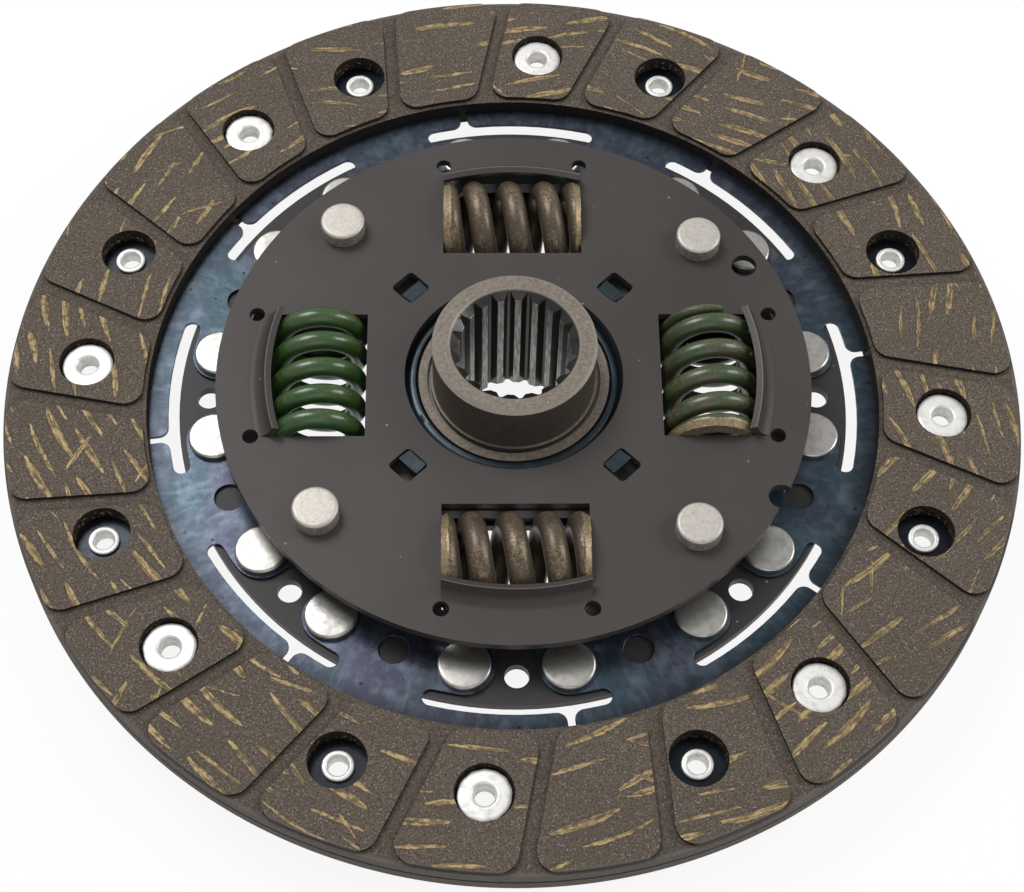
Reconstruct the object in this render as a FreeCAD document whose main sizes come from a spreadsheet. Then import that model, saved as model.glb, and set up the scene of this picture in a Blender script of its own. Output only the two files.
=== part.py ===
import FreeCAD, Part
import math
import os
import re

import Sketcher
from FreeCAD import Placement, Rotation, Vector

# A sprung clutch disc, in millimetres and degrees.
# The shaft axis is Z. The hub's rear end face is at Z = 0 and the cover plate faces +Z.
# Every sub-part is drawn about the mid-plane of the cushion plate, then lifted to its height.
SIZES = [
    # Whole disc
    ("cushion_height", 13.3, "cushion plate's mid-plane above the hub's rear face"),
    ("cushion_thickness", 0.7, "blued spring-steel sheet between the facings"),
    ("seat_gap", 0.05, "gap between faces that slide on each other"),
    ("fit_gap", 0.1, "radial gap round a rivet or a pin"),
    # Facings
    ("facing_outer_radius", 100.0, "outer rim of both facings"),
    ("facing_inner_radius", 72.3, "inner rim of both facings"),
    ("facing_thickness", 3.5, "full height over the pads"),
    ("rim_width", 0.5, "step outside the pads, at the outer rim"),
    ("inner_rim_width", 0.7, "step inside the pads, at the inner rim"),
    ("pads_per_rivet", 3, "pads for each rivet of one facing"),
    ("groove_depth", 0.9, "depth of the grooves between the pads"),
    ("groove_width", 2.9, "width of a groove, which is straight"),
    ("groove_offset", 19.6, "distance of a groove's centre line from the axis"),
    ("groove_angle", 3.73, "direction square to the first groove's line"),
    ("pad_corner_radius", 3.5, "rounding of a pad's corners"),
    # Facing rivets
    ("facing_rivet_count", 8, "rivets of one facing"),
    ("facing_rivet_inward", 1.35, "rivets' circle inside the middle of the facing's width"),
    ("front_rivet_angle", -4.1, "first rivet with its head at the front"),
    ("rear_rivet_angle", 22.5, "first rivet with its head at the rear"),
    ("facing_head_radius", 5.0, "head of a tubular rivet"),
    ("facing_head_thickness", 0.75, "head of a tubular rivet"),
    ("facing_head_depth", 2.0, "head's seat below the pad"),
    ("facing_shank_radius", 2.5, "tube of a tubular rivet"),
    ("facing_bore_radius", 1.9, "hole through a tubular rivet"),
    ("facing_roll_radius", 3.0, "rolled end of a tubular rivet"),
    ("facing_roll_thickness", 0.8, "rolled end of a tubular rivet"),
    ("counterbore_radius", 5.5, "counterbores and clearance holes in the facings"),
    # Cushion plate
    ("cushion_rim_inset", 2.5, "rim of the blades inside the facings' rim"),
    ("ear_inner_radius", 53.0, "inner end of the ears, under the cover plate"),
    ("slot_inner_radius", 65.1, "inner edge of the T-slots and outer edge of the ears"),
    ("slot_outer_radius", 68.3, "outer edge of the T-slots"),
    ("slot_end_angle", 13.8, "from a slot's middle to the centre of its round end"),
    ("stem_angle", 8.1, "from a slot's middle to its stem"),
    ("stem_width", 1.4, "gap between two blades"),
    ("stem_fillet", 2.0, "rounding where the stem meets the slot"),
    ("locating_hole_circle", 59.7, "circle through the blind-backed holes in the ears"),
    ("locating_hole_radius", 2.85, "blind-backed holes in the ears"),
    ("locating_hole_angle", 22.5, "first blind-backed hole"),
    # Cushion rivets
    ("cushion_rivet_circle", 59.5, "circle through the flat-headed rivets"),
    ("cushion_rivet_angle", 9.35, "each side of a slot's middle"),
    ("cushion_rivet_head_radius", 5.05, "flat head at the front"),
    ("cushion_rivet_head_thickness", 1.4, "flat head at the front"),
    ("cushion_rivet_head_round", 0.35, "edge of the flat head"),
    ("cushion_rivet_shank_radius", 2.5, "shank"),
    ("cushion_rivet_tail_radius", 4.5, "upset head at the rear"),
    ("cushion_rivet_tail_thickness", 1.3, "upset head at the rear"),
    # Side plates
    ("drive_radius", 66.2, "rim of the rear side plate"),
    ("drive_thickness", 2.0, "rear side plate"),
    ("drive_bore_radius", 18.0, "rear side plate's bore, round the bush"),
    ("drive_hole_circle", 60.4, "circle through the plain through holes"),
    ("drive_hole_radius", 2.35, "plain through holes"),
    ("plate_gap", 7.15, "space between the two side plates"),
    ("cover_radius", 58.2, "rim of the front side plate"),
    ("cover_thickness", 1.8, "front side plate"),
    ("cover_bore_radius", 21.4, "central hole of the front side plate"),
    ("lug_hole_circle", 28.9, "circle through the square holes"),
    ("lug_hole_side", 5.6, "side of a square hole"),
    ("lug_hole_corner", 0.9, "corner of a square hole"),
    ("index_hole_radius", 2.55, "plain hole and edge bite of the cover"),
    ("index_hole_circle", 53.3, "radius at which the plain hole lies"),
    ("index_hole_angle", 28.8, "direction of the plain hole"),
    ("edge_bite_circle", 57.5, "radius at which the edge bite lies"),
    ("edge_bite_angle", -28.5, "direction of the edge bite"),
    # Spring windows
    ("window_count", 4, "spring windows of each plate and of the flange"),
    ("window_length", 28.0, "window along its spring"),
    ("window_inner_radius", 28.85, "straight inner edge of a side plate's window"),
    ("relief_hole_radius", 1.55, "round holes that end a lip's two side cuts"),
    ("relief_hole_out", 50.8, "relief hole's distance out from the axis, along the window's middle"),
    ("lip_clearance", 1.35, "between a spring's middle and the bend of the lip over it"),
    ("lip_thickness", 1.3, "sheet of the lip, thinned by bending"),
    ("lip_bend_radius", 2.65, "outside of the bend at a lip's root"),
    ("lip_lean", 67.0, "angle between a lip's wall and the sheet"),
    ("lip_height", 3.2, "a lip's edge above the sheet"),
    # Springs
    ("spring_circle", 38.7, "distance of a spring's axis from the shaft axis"),
    ("spring_outer_radius", 9.8, "outside of every damper spring"),
    ("spring_end_gap", 0.05, "between a spring's end and its window"),
    ("spring_chamfer_length", 1.8, "bevel ground round a spring's ends"),
    ("spring_chamfer_depth", 0.9, "bevel ground round a spring's ends"),
    ("main_wire_radius", 2.4, "wire of the north and south springs"),
    ("main_pitch", 7.2, "from coil to coil, north and south"),
    ("north_phase", 0.81, "turns before the middle at which the coil starts"),
    ("south_phase", 0.75, "turns before the middle at which the coil starts"),
    ("light_wire_radius", 1.95, "wire of the east and west springs"),
    ("light_pitch", 6.07, "from coil to coil, east and west"),
    ("east_phase", 0.05, "turns before the middle at which the coil starts"),
    ("west_phase", 0.77, "turns before the middle at which the coil starts"),
    # Stop pins
    ("pin_circle", 48.8, "circle through the stop pins"),
    ("pin_pair_angle", 39.65, "first pair of stop pins"),
    ("pin_second_pair_angle", 134.7, "second pair of stop pins"),
    ("pin_body_radius", 3.5, "between the side plates"),
    ("pin_shank_radius", 3.0, "through the side plates"),
    ("pin_head_radius", 4.45, "front head"),
    ("pin_head_height", 3.3, "front head"),
    ("pin_head_chamfer", 0.35, "edge of the front head"),
    ("pin_tail_radius", 4.3, "upset head at the rear"),
    ("pin_tail_height", 2.0, "upset head at the rear"),
    # Hub
    ("hub_front", 19.9, "front end face above the cushion plate's mid-plane"),
    ("hub_barrel_radius", 15.9, "barrel, front and rear"),
    ("hub_chamfer", 0.6, "outer edges of the barrel"),
    ("hub_foot_radius", 16.35, "small foot of the front barrel"),
    ("hub_foot_height", 0.6, "foot above the shoulder's face"),
    ("hub_relief_radius", 17.0, "outer wall of the turned relief groove"),
    ("hub_relief_depth", 0.9, "turned relief groove"),
    ("hub_shoulder_radius", 18.7, "shoulder in front of the flange"),
    ("hub_shoulder_height", 2.3, "shoulder above the flange"),
    ("hub_seat_radius", 17.4, "seat of the flange"),
    ("spline_teeth", 20, "teeth of the internal spline"),
    ("spline_minor_radius", 10.7, "tips of the teeth"),
    ("spline_major_radius", 12.15, "roots of the gaps"),
    ("spline_mouth_half_width", 1.03, "half a gap's width at the tips of the teeth"),
    ("spline_root_half_width", 0.28, "half a gap's width at its root"),
    ("bore_mouth_radius", 12.8, "wide end of the bore's chamfers"),
    ("bore_mouth_depth", 1.6, "depth of the bore's chamfers"),
    # Hub flange
    ("flange_thickness", 3.0, "flange between the side plates"),
    ("flange_radius", 54.4, "rim of the flange"),
    ("flange_window_inner", 28.3, "inner edge of a flange window"),
    ("flange_window_outer", 49.1, "outer edge of a flange window"),
    ("twist_limit", 7.0, "how far the hub turns each way before the pins stop it"),
    ("stop_gap", 0.2, "gap left at the stops"),
    ("notch_depth_gap", 0.6, "between a stop pin and the bottom of its notch"),
    # Washers, rings and bush round the hub
    ("key_inner_radius", 19.0, "inner edge of the key washer"),
    ("key_thickness", 0.6, "key washer's sheet"),
    ("key_flat_radius", 21.8, "where the key washer's rim starts to rise"),
    ("key_outer_radius", 26.9, "rim of the key washer, under the cover"),
    ("key_rim_rise", 1.2, "how far the inner rim stands up"),
    ("lug_width", 4.6, "lug in a square hole"),
    ("lug_tip_radius", 29.1, "end of a lug"),
    ("friction_ring_thickness", 0.7, "front friction ring"),
    ("friction_ring_inner", 19.4, "front friction ring"),
    ("friction_ring_outer", 27.0, "front friction ring"),
    ("rear_ring_inner", 21.5, "rear friction ring"),
    ("rear_ring_outer", 28.4, "rear friction ring"),
    ("friction_spring_inner", 22.3, "dished spring washer"),
    ("friction_spring_outer", 25.9, "dished spring washer"),
    ("friction_spring_thickness", 0.35, "dished spring washer"),
    ("bush_bore_gap", 0.05, "running clearance of the bush on the hub"),
    ("bush_collar_radius", 21.0, "collar of the bush, in front of the drive plate"),
    ("bush_tail", 1.6, "how far the bush stands out behind the drive plate"),
]

doc = FreeCAD.newDocument("clutch_disc")
sheet = doc.addObject("Spreadsheet::Sheet", "Sizes")
for row, (alias, value, note) in enumerate(SIZES, start=1):
    sheet.set("A%d" % row, alias)
    sheet.set("B%d" % row, str(value))
    sheet.set("C%d" % row, note)
    sheet.setAlias("B%d" % row, alias)
doc.recompute()

ALIAS_PATTERN = re.compile(r"\b(" + "|".join(alias for alias, _, _ in SIZES) + r")\b")

# Heights that several sub-parts share, measured from the cushion plate's mid-plane.
DRIVE_FRONT = "(-cushion_thickness / 2)"
DRIVE_REAR = "(%s - drive_thickness)" % DRIVE_FRONT
COVER_REAR = "(%s + plate_gap)" % DRIVE_FRONT
COVER_FRONT = "(%s + cover_thickness)" % COVER_REAR
SPRING_HEIGHT = "(%s + plate_gap / 2)" % DRIVE_FRONT
FLANGE_REAR = "(%s - flange_thickness / 2)" % SPRING_HEIGHT
FLANGE_FRONT = "(%s + flange_thickness / 2)" % SPRING_HEIGHT
SHOULDER_FRONT = "(%s + hub_shoulder_height)" % FLANGE_FRONT
RING_REAR = "(%s + seat_gap)" % FLANGE_FRONT
KEY_REAR = "(%s + friction_ring_thickness)" % RING_REAR
KEY_FRONT = "(%s + key_thickness)" % KEY_REAR
FACING_ROOT = "(cushion_thickness / 2)"
PAD_TOP = "(%s + facing_thickness)" % FACING_ROOT
GROOVE_FLOOR = "(%s - groove_depth)" % PAD_TOP

# Radii that follow from others.
FACING_RIVET_CIRCLE = "((facing_outer_radius + facing_inner_radius) / 2 - facing_rivet_inward)"
CUSHION_RIM = "(facing_outer_radius - cushion_rim_inset)"
BEND_DISTANCE = "(spring_outer_radius + lip_clearance + lip_thickness + lip_bend_radius)"


def bound(text):
    """Name the sheet in front of every size that an expression uses."""
    return ALIAS_PATTERN.sub(r"Sizes.\1", text)


def value(text):
    """Work an expression out from the sheet."""
    return float(doc.getObject("Sizes").evalExpression(text))


def bind(feature, prop, text):
    """Tie one property of a feature to the sheet."""
    feature.setExpression(prop, bound(text))


def polar(radius, angle):
    """Give a point at a radius and an angle in degrees, as two expressions."""
    return ("(%s) * cos((%s) * 1deg)" % (radius, angle), "(%s) * sin((%s) * 1deg)" % (radius, angle))


def turned(along, across, angle):
    """Give a point in axes turned by an angle in degrees, as two expressions."""
    cosine = "cos((%s) * 1deg)" % angle
    sine = "sin((%s) * 1deg)" % angle
    return (
        "(%s) * %s - (%s) * %s" % (along, cosine, across, sine),
        "(%s) * %s + (%s) * %s" % (along, sine, across, cosine),
    )


def new_body(label):
    """Start a sub-part, lifted so that its own zero is the cushion plate's mid-plane."""
    body = doc.addObject("PartDesign::Body", label)
    body.Label = label
    bind(body, "Placement.Base.z", "cushion_height")
    return body


def new_sketch(body, name, plane, height="0", turn="0"):
    """Attach a sketch to one of the body's own planes, raised and turned about the axis."""
    sketch = body.newObject("Sketcher::SketchObject", name)
    support = [feature for feature in body.Origin.OriginFeatures if feature.Role == plane][0]
    sketch.AttachmentSupport = [(support, "")]
    sketch.MapMode = "FlatFace"
    upright = plane == "XZ_Plane"
    axis = Vector(0, 1, 0) if upright else Vector(0, 0, 1)
    sketch.AttachmentOffset = Placement(Vector(0, 0, 0), Rotation(axis, value(turn)))
    bind(sketch, "AttachmentOffset.Rotation.Angle", turn)
    if not upright:
        bind(sketch, "AttachmentOffset.Base.z", height)
    return sketch


def place_point(sketch, index, end, point, tag):
    """Fix one point of a sketch by its two distances from the origin."""
    for kind, word, text in (("DistanceX", "across", point[0]), ("DistanceY", "up", point[1])):
        number = sketch.addConstraint(Sketcher.Constraint(kind, -1, 1, index, end, value(text)))
        name = "%s_%s" % (word, tag)
        sketch.renameConstraint(number, name)
        bind(sketch, "Constraints." + name, text)


def arc_between(start, finish, radius, turn):
    """Make the short arc from start to finish; turn is 1 when it runs anticlockwise."""
    chord = finish - start
    rise = math.sqrt(max(radius ** 2 - chord.Length ** 2 / 4, 0.0))
    left = Vector(-chord.y, chord.x, 0).normalize()
    centre = (start + finish) / 2 + left * rise * turn
    first, last = (start, finish) if turn > 0 else (finish, start)
    begin = math.atan2(first.y - centre.y, first.x - centre.x)
    stop = math.atan2(last.y - centre.y, last.x - centre.x)
    return Part.ArcOfCircle(Part.Circle(centre, Vector(0, 0, 1), radius), begin, stop)


def draw_outline(sketch, points, arcs=None):
    """Draw a closed outline. arcs gives, for the edge after a point, its radius and turn."""
    arcs = arcs or {}
    places = [Vector(value(x), value(y), 0) for x, y in points]
    ends = []
    for number, place in enumerate(places):
        following = places[(number + 1) % len(places)]
        if number in arcs:
            radius, turn = arcs[number]
            index = sketch.addGeometry(arc_between(place, following, value(radius), turn), False)
            ends.append((index, 1, 2) if turn > 0 else (index, 2, 1))
        else:
            index = sketch.addGeometry(Part.LineSegment(place, following), False)
            ends.append((index, 1, 2))
    for number, (index, start, _) in enumerate(ends):
        before, _, finish = ends[number - 1]
        sketch.addConstraint(Sketcher.Constraint("Coincident", before, finish, index, start))
    for number, (index, start, _) in enumerate(ends):
        place_point(sketch, index, start, points[number], str(number + 1))
        if number in arcs:
            constraint = sketch.addConstraint(Sketcher.Constraint("Radius", index, value(arcs[number][0])))
            name = "radius_%d" % (number + 1)
            sketch.renameConstraint(constraint, name)
            bind(sketch, "Constraints." + name, arcs[number][0])


def draw_circles(sketch, circles):
    """Draw circles, each given by its centre and its radius."""
    for number, (centre, radius) in enumerate(circles, start=1):
        place = Vector(value(centre[0]), value(centre[1]), 0)
        index = sketch.addGeometry(Part.Circle(place, Vector(0, 0, 1), value(radius)), False)
        place_point(sketch, index, 3, centre, "centre_%d" % number)
        constraint = sketch.addConstraint(Sketcher.Constraint("Radius", index, value(radius)))
        name = "radius_%d" % number
        sketch.renameConstraint(constraint, name)
        bind(sketch, "Constraints." + name, radius)


def pad(body, sketch, length):
    """Raise a sketch into a solid."""
    feature = body.newObject("PartDesign::Pad", sketch.Name + "Pad")
    feature.Profile = sketch
    bind(feature, "Length", length)
    sketch.Visibility = False
    doc.recompute()
    return feature


def pocket(body, sketch, depth):
    """Cut a sketch downwards into the body."""
    feature = body.newObject("PartDesign::Pocket", sketch.Name + "Pocket")
    feature.Profile = sketch
    bind(feature, "Length", depth)
    doc.recompute()
    return feature


def revolve(body, sketch, angle="360", cut=False):
    """Turn an upright sketch about the shaft axis, evenly to both sides of it."""
    kind = "PartDesign::Groove" if cut else "PartDesign::Revolution"
    feature = body.newObject(kind, sketch.Name + "Turned")
    feature.Profile = sketch
    feature.ReferenceAxis = (sketch, ["V_Axis"])
    feature.Midplane = angle != "360"
    bind(feature, "Angle", angle)
    doc.recompute()
    return feature


def repeat(body, features, count):
    """Repeat features evenly round the shaft axis."""
    pattern = body.newObject("PartDesign::PolarPattern", features[0].Name + "Ring")
    pattern.Originals = features
    axis = [feature for feature in body.Origin.OriginFeatures if feature.Role == "Z_Axis"][0]
    pattern.Axis = (axis, [""])
    pattern.Angle = 360
    bind(pattern, "Occurrences", count)
    body.Tip = pattern
    doc.recompute()
    return pattern


def turned_profile(label, points, arcs=None):
    """Make a sub-part that is one turned profile, given as radius and height."""
    body = new_body(label)
    sketch = new_sketch(body, label + "_profile", "XZ_Plane")
    draw_outline(sketch, points, arcs)
    revolve(body, sketch)
    return body


def ring_section(inner, outer, low, high):
    """Give the four corners of a plain ring's section."""
    return [(inner, low), (outer, low), (outer, high), (inner, high)]


def groove_outline(sketch):
    """Draw one straight groove with the rounded corners of the pads on both sides.

    In the sketch's axes the groove runs along Y at a distance from the axis. A pad's corner is
    an arc that touches the groove's wall and the circle that bounds the pads.
    """
    outer = "(facing_outer_radius - rim_width)"
    inner = "(facing_inner_radius + inner_rim_width)"
    near = "(groove_offset - groove_width / 2)"
    far = "(groove_offset + groove_width / 2)"
    corner = "pad_corner_radius"

    def touch(side, circle, sign):
        """Give where a corner arc leaves the wall and where it meets the bounding circle."""
        across = "(%s %s %s)" % (near if side < 0 else far, "-" if side < 0 else "+", corner)
        reach = "(%s %s %s)" % (circle, sign, corner)
        along = "sqrt(%s ^ 2 - %s ^ 2)" % (reach, across)
        wall = (near if side < 0 else far, along)
        rim = ("%s * %s / %s" % (across, circle, reach), "%s * %s / %s" % (along, circle, reach))
        return wall, rim

    near_out, near_out_rim = touch(-1, outer, "-")
    far_out, far_out_rim = touch(1, outer, "-")
    near_in, near_in_rim = touch(-1, inner, "+")
    far_in, far_in_rim = touch(1, inner, "+")
    beyond = "%s * (facing_outer_radius + 1) / %s"
    within = "%s * (facing_inner_radius - 1) / %s"
    points = [
        near_in_rim,
        near_in,
        near_out,
        near_out_rim,
        tuple(beyond % (text, outer) for text in near_out_rim),
        tuple(beyond % (text, outer) for text in far_out_rim),
        far_out_rim,
        far_out,
        far_in,
        far_in_rim,
        tuple(within % (text, inner) for text in far_in_rim),
        tuple(within % (text, inner) for text in near_in_rim),
    ]
    arcs = {0: (corner, 1), 2: (corner, 1), 6: (corner, 1), 8: (corner, 1)}
    draw_outline(sketch, points, arcs)


def make_facing(label):
    """Make one facing as it lies on the front: a ring with raised pads and its rivet holes."""
    body = new_body(label)
    ring = new_sketch(body, label + "_ring", "XY_Plane", FACING_ROOT)
    centre = ("0", "0")
    draw_circles(ring, [(centre, "facing_outer_radius"), (centre, "facing_inner_radius")])
    pad(body, ring, "facing_thickness")

    rims = new_sketch(body, label + "_rims", "XY_Plane", PAD_TOP)
    draw_circles(rims, [(centre, "facing_outer_radius + 1"), (centre, "facing_outer_radius - rim_width")])
    pocket(body, rims, "groove_depth")
    inner_rim = new_sketch(body, label + "_inner_rim", "XY_Plane", PAD_TOP)
    draw_circles(inner_rim, [(centre, "facing_inner_radius + inner_rim_width")])
    pocket(body, inner_rim, "groove_depth")

    groove = new_sketch(body, label + "_groove", "XY_Plane", PAD_TOP, "groove_angle")
    groove_outline(groove)
    repeat(body, [pocket(body, groove, "groove_depth")], "facing_rivet_count * pads_per_rivet")

    seats = new_sketch(body, label + "_seats", "XY_Plane", PAD_TOP)
    draw_circles(seats, [(polar(FACING_RIVET_CIRCLE, "front_rivet_angle"), "counterbore_radius")])
    seat_cut = pocket(body, seats, "facing_head_depth")
    shanks = new_sketch(body, label + "_holes", "XY_Plane", PAD_TOP)
    draw_circles(shanks, [
        (polar(FACING_RIVET_CIRCLE, "front_rivet_angle"), "facing_shank_radius + fit_gap"),
        (polar(FACING_RIVET_CIRCLE, "rear_rivet_angle"), "counterbore_radius"),
    ])
    repeat(body, [seat_cut, pocket(body, shanks, "facing_thickness")], "facing_rivet_count")
    return body


def make_facing_rivets(label):
    """Make the tubular rivets of one facing, as they lie on the front."""
    body = new_body(label)
    sketch = new_sketch(body, label + "_profile", "XZ_Plane", turn="front_rivet_angle")
    seat = "(%s - facing_head_depth)" % PAD_TOP
    end = "(-cushion_thickness / 2)"
    middle = FACING_RIVET_CIRCLE
    draw_outline(sketch, [
        ("%s + facing_bore_radius" % middle, "%s + facing_head_thickness" % seat),
        ("%s + facing_bore_radius" % middle, "%s - facing_roll_thickness" % end),
        ("%s + facing_roll_radius - 0.3" % middle, "%s - facing_roll_thickness" % end),
        ("%s + facing_roll_radius" % middle, "%s - facing_roll_thickness / 2" % end),
        ("%s + facing_roll_radius" % middle, end),
        ("%s + facing_shank_radius" % middle, end),
        ("%s + facing_shank_radius" % middle, seat),
        ("%s + facing_head_radius" % middle, seat),
        ("%s + facing_head_radius" % middle, "%s + facing_head_thickness" % seat),
    ])
    feature = body.newObject("PartDesign::Revolution", label + "_turned")
    feature.Profile = sketch
    line = sketch.addGeometry(Part.LineSegment(Vector(value(middle), 0, 0), Vector(value(middle), 1, 0)), True)
    place_point(sketch, line, 1, (middle, "0"), "axis_foot")
    place_point(sketch, line, 2, (middle, "1"), "axis_head")
    feature.ReferenceAxis = (sketch, ["Axis0"])
    feature.Angle = 360
    doc.recompute()
    repeat(body, [feature], "facing_rivet_count")
    return body


def turn_over(body):
    """Turn a front piece over to the rear, so that its two kinds of rivet hole change places."""
    middle = value("(front_rivet_angle + rear_rivet_angle) / 2")
    axis = Vector(math.cos(math.radians(middle)), math.sin(math.radians(middle)), 0)
    body.Placement = Placement(Vector(0, 0, value("cushion_height")), Rotation(axis, 180))
    bind(body, "Placement.Rotation.Axis.x", "cos((front_rivet_angle + rear_rivet_angle) / 2 * 1deg)")
    bind(body, "Placement.Rotation.Axis.y", "sin((front_rivet_angle + rear_rivet_angle) / 2 * 1deg)")


def slot_outline(sketch):
    """Draw a T-slot with its stem, and the gap between two ears that opens into it.

    The slot's middle is on the sketch's X axis. Its ends are round, its stem runs out past the
    rim, and each ear is rounded about its rivet, so that it touches the slot's inner edge there.
    """
    inner = "slot_inner_radius"
    outer = "slot_outer_radius"
    middle = "((slot_inner_radius + slot_outer_radius) / 2)"
    half = "((slot_outer_radius - slot_inner_radius) / 2)"
    ear_round = "(slot_inner_radius - cushion_rivet_circle)"
    reach = "(slot_outer_radius + stem_fillet)"
    side = "(stem_width / 2 + stem_fillet)"
    along = "sqrt(%s ^ 2 - %s ^ 2)" % (reach, side)
    inside = "(ear_inner_radius - 2)"

    def stem_point(length, across):
        """Give a point in the axes of the stem."""
        return turned(length, across, "stem_angle")

    def tip(sign):
        """Give the outermost point of one round end."""
        return turned(middle, "%s%s" % (sign, half), "%sslot_end_angle" % sign)

    def ear(sign, length):
        """Give a point on the side of the ear next to the gap."""
        across = "%s%s" % ("-" if sign == "" else "", ear_round)
        return turned(length, across, "%scushion_rivet_angle" % sign)

    points = [
        polar(outer, "-slot_end_angle"),
        stem_point("%s * %s / %s" % (along, outer, reach), "-%s * %s / %s" % (side, outer, reach)),
        stem_point(along, "-stem_width / 2"),
        stem_point(CUSHION_RIM + " + 2", "-stem_width / 2"),
        stem_point(CUSHION_RIM + " + 2", "stem_width / 2"),
        stem_point(along, "stem_width / 2"),
        stem_point("%s * %s / %s" % (along, outer, reach), "%s * %s / %s" % (side, outer, reach)),
        polar(outer, "slot_end_angle"),
        tip(""),
        polar(inner, "slot_end_angle"),
        polar(inner, "cushion_rivet_angle"),
        ear("", "cushion_rivet_circle"),
        ear("", inside),
        ear("-", inside),
        ear("-", "cushion_rivet_circle"),
        polar(inner, "-cushion_rivet_angle"),
        polar(inner, "-slot_end_angle"),
        tip("-"),
    ]
    arcs = {
        0: (outer, 1),
        1: ("stem_fillet", -1),
        5: ("stem_fillet", -1),
        6: (outer, 1),
        7: (half, 1),
        8: (half, 1),
        9: (inner, -1),
        10: (ear_round, -1),
        14: (ear_round, -1),
        15: (inner, -1),
        16: (half, 1),
        17: (half, 1),
    }
    draw_outline(sketch, points, arcs)


def make_cushion_plate():
    """Make the blued plate: blades between T-slots, and ears that are riveted to the drive plate."""
    body = new_body("cushion_plate")
    top = "(cushion_thickness / 2)"
    centre = ("0", "0")
    blank = new_sketch(body, "cushion_blank", "XY_Plane", "-cushion_thickness / 2")
    draw_circles(blank, [(centre, CUSHION_RIM), (centre, "ear_inner_radius")])
    pad(body, blank, "cushion_thickness")
    slot = new_sketch(body, "cushion_slot", "XY_Plane", top)
    slot_outline(slot)
    slot_cut = pocket(body, slot, "cushion_thickness")
    holes = new_sketch(body, "cushion_holes", "XY_Plane", top)
    draw_circles(holes, [
        (polar(FACING_RIVET_CIRCLE, "front_rivet_angle"), "facing_shank_radius + fit_gap"),
        (polar(FACING_RIVET_CIRCLE, "rear_rivet_angle"), "facing_shank_radius + fit_gap"),
        (polar("cushion_rivet_circle", "cushion_rivet_angle"), "cushion_rivet_shank_radius + fit_gap"),
        (polar("cushion_rivet_circle", "-cushion_rivet_angle"), "cushion_rivet_shank_radius + fit_gap"),
        (polar("locating_hole_circle", "locating_hole_angle"), "locating_hole_radius"),
    ])
    repeat(body, [slot_cut, pocket(body, holes, "cushion_thickness")], "facing_rivet_count")
    return body


def lip_foot(sheet):
    """Give the radius at which a lip starts to rise, so that its bend clears the spring."""
    return "(spring_circle + sqrt(%s ^ 2 - (plate_gap / 2 + %s + lip_bend_radius) ^ 2))" % (BEND_DISTANCE, sheet)


def add_lips(body, label, sheet, front):
    """Add the lips that rise over the springs, along the outer edges of the windows.

    A lip's section is a bend that leaves the sheet and a straight wall that leans inwards. It is
    turned about the shaft axis, and its two ends are then cut square to the window.
    """
    sign = "+" if front else "-"
    outside = "(%s %s (plate_gap / 2 + %s))" % (SPRING_HEIGHT, sign, sheet)
    foot = lip_foot(sheet)
    cosine = "cos(lip_lean * 1deg)"
    sine = "sin(lip_lean * 1deg)"
    inside = "(lip_bend_radius + lip_thickness)"
    wall_rise = "(lip_height - lip_bend_radius * (1 - %s))" % cosine
    tip = "(%s - lip_bend_radius * %s - %s * %s / %s)" % (foot, sine, wall_rise, cosine, sine)
    sketch = new_sketch(body, label + "_lip", "XZ_Plane")
    points = [
        ("%s + fit_gap" % foot, "%s - %slip_thickness" % (outside, sign)),
        ("%s + fit_gap" % foot, outside),
        (foot, outside),
        ("%s - lip_bend_radius * %s" % (foot, sine), "%s %s lip_bend_radius * (1 - %s)" % (outside, sign, cosine)),
        (tip, "%s %s lip_height" % (outside, sign)),
        ("%s - lip_thickness * %s" % (tip, sine), "%s %s (lip_height - lip_thickness * %s)" % (outside, sign, cosine)),
        ("%s - %s * %s" % (foot, inside, sine), "%s %s (lip_bend_radius - %s * %s)" % (outside, sign, inside, cosine)),
        (foot, "%s - %slip_thickness" % (outside, sign)),
    ]
    turn = 1 if front else -1
    draw_outline(sketch, points, {2: ("lip_bend_radius", -turn), 6: (inside, turn)})
    lip = revolve(body, sketch, "2 * asin(window_length / 2 / spring_circle) / 1deg")

    rise = "(lip_height * 1.5)"
    start = "(%s + %s)" % (outside, rise) if front else outside
    trim = new_sketch(body, label + "_lip_ends", "XY_Plane", start)
    low = "spring_circle"
    middle = "window_length / 2"
    beyond = "window_length * 0.75"
    draw_outline(trim, [(low, middle), (foot, middle), (foot, beyond), (low, beyond)])
    trim_cut = pocket(body, trim, rise)
    other = new_sketch(body, label + "_other_ends", "XY_Plane", start)
    draw_outline(other, [(low, "-" + beyond), (foot, "-" + beyond), (foot, "-" + middle), (low, "-" + middle)])
    other_cut = pocket(body, other, rise)
    return [lip, trim_cut, other_cut]


def window_cut(body, label, height, thickness):
    """Cut a window: straight inner edge and sides, and an outer edge along the lip's foot."""
    window = new_sketch(body, label + "_window", "XY_Plane", height)
    half = "window_length / 2"
    outer = lip_foot(thickness)
    corner = "sqrt(%s ^ 2 - (window_length / 2) ^ 2)" % outer
    points = [("window_inner_radius", "-" + half), (corner, "-" + half), (corner, half), ("window_inner_radius", half)]
    draw_outline(window, points, {1: (outer, 1)})
    return pocket(body, window, thickness)


def relief_cut(body, label, height, thickness):
    """Cut the two round holes that end a lip's side cuts."""
    holes = new_sketch(body, label + "_relief", "XY_Plane", height)
    draw_circles(holes, [
        (("relief_hole_out", "window_length / 2"), "relief_hole_radius"),
        (("relief_hole_out", "-window_length / 2"), "relief_hole_radius"),
    ])
    return pocket(body, holes, thickness)


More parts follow.
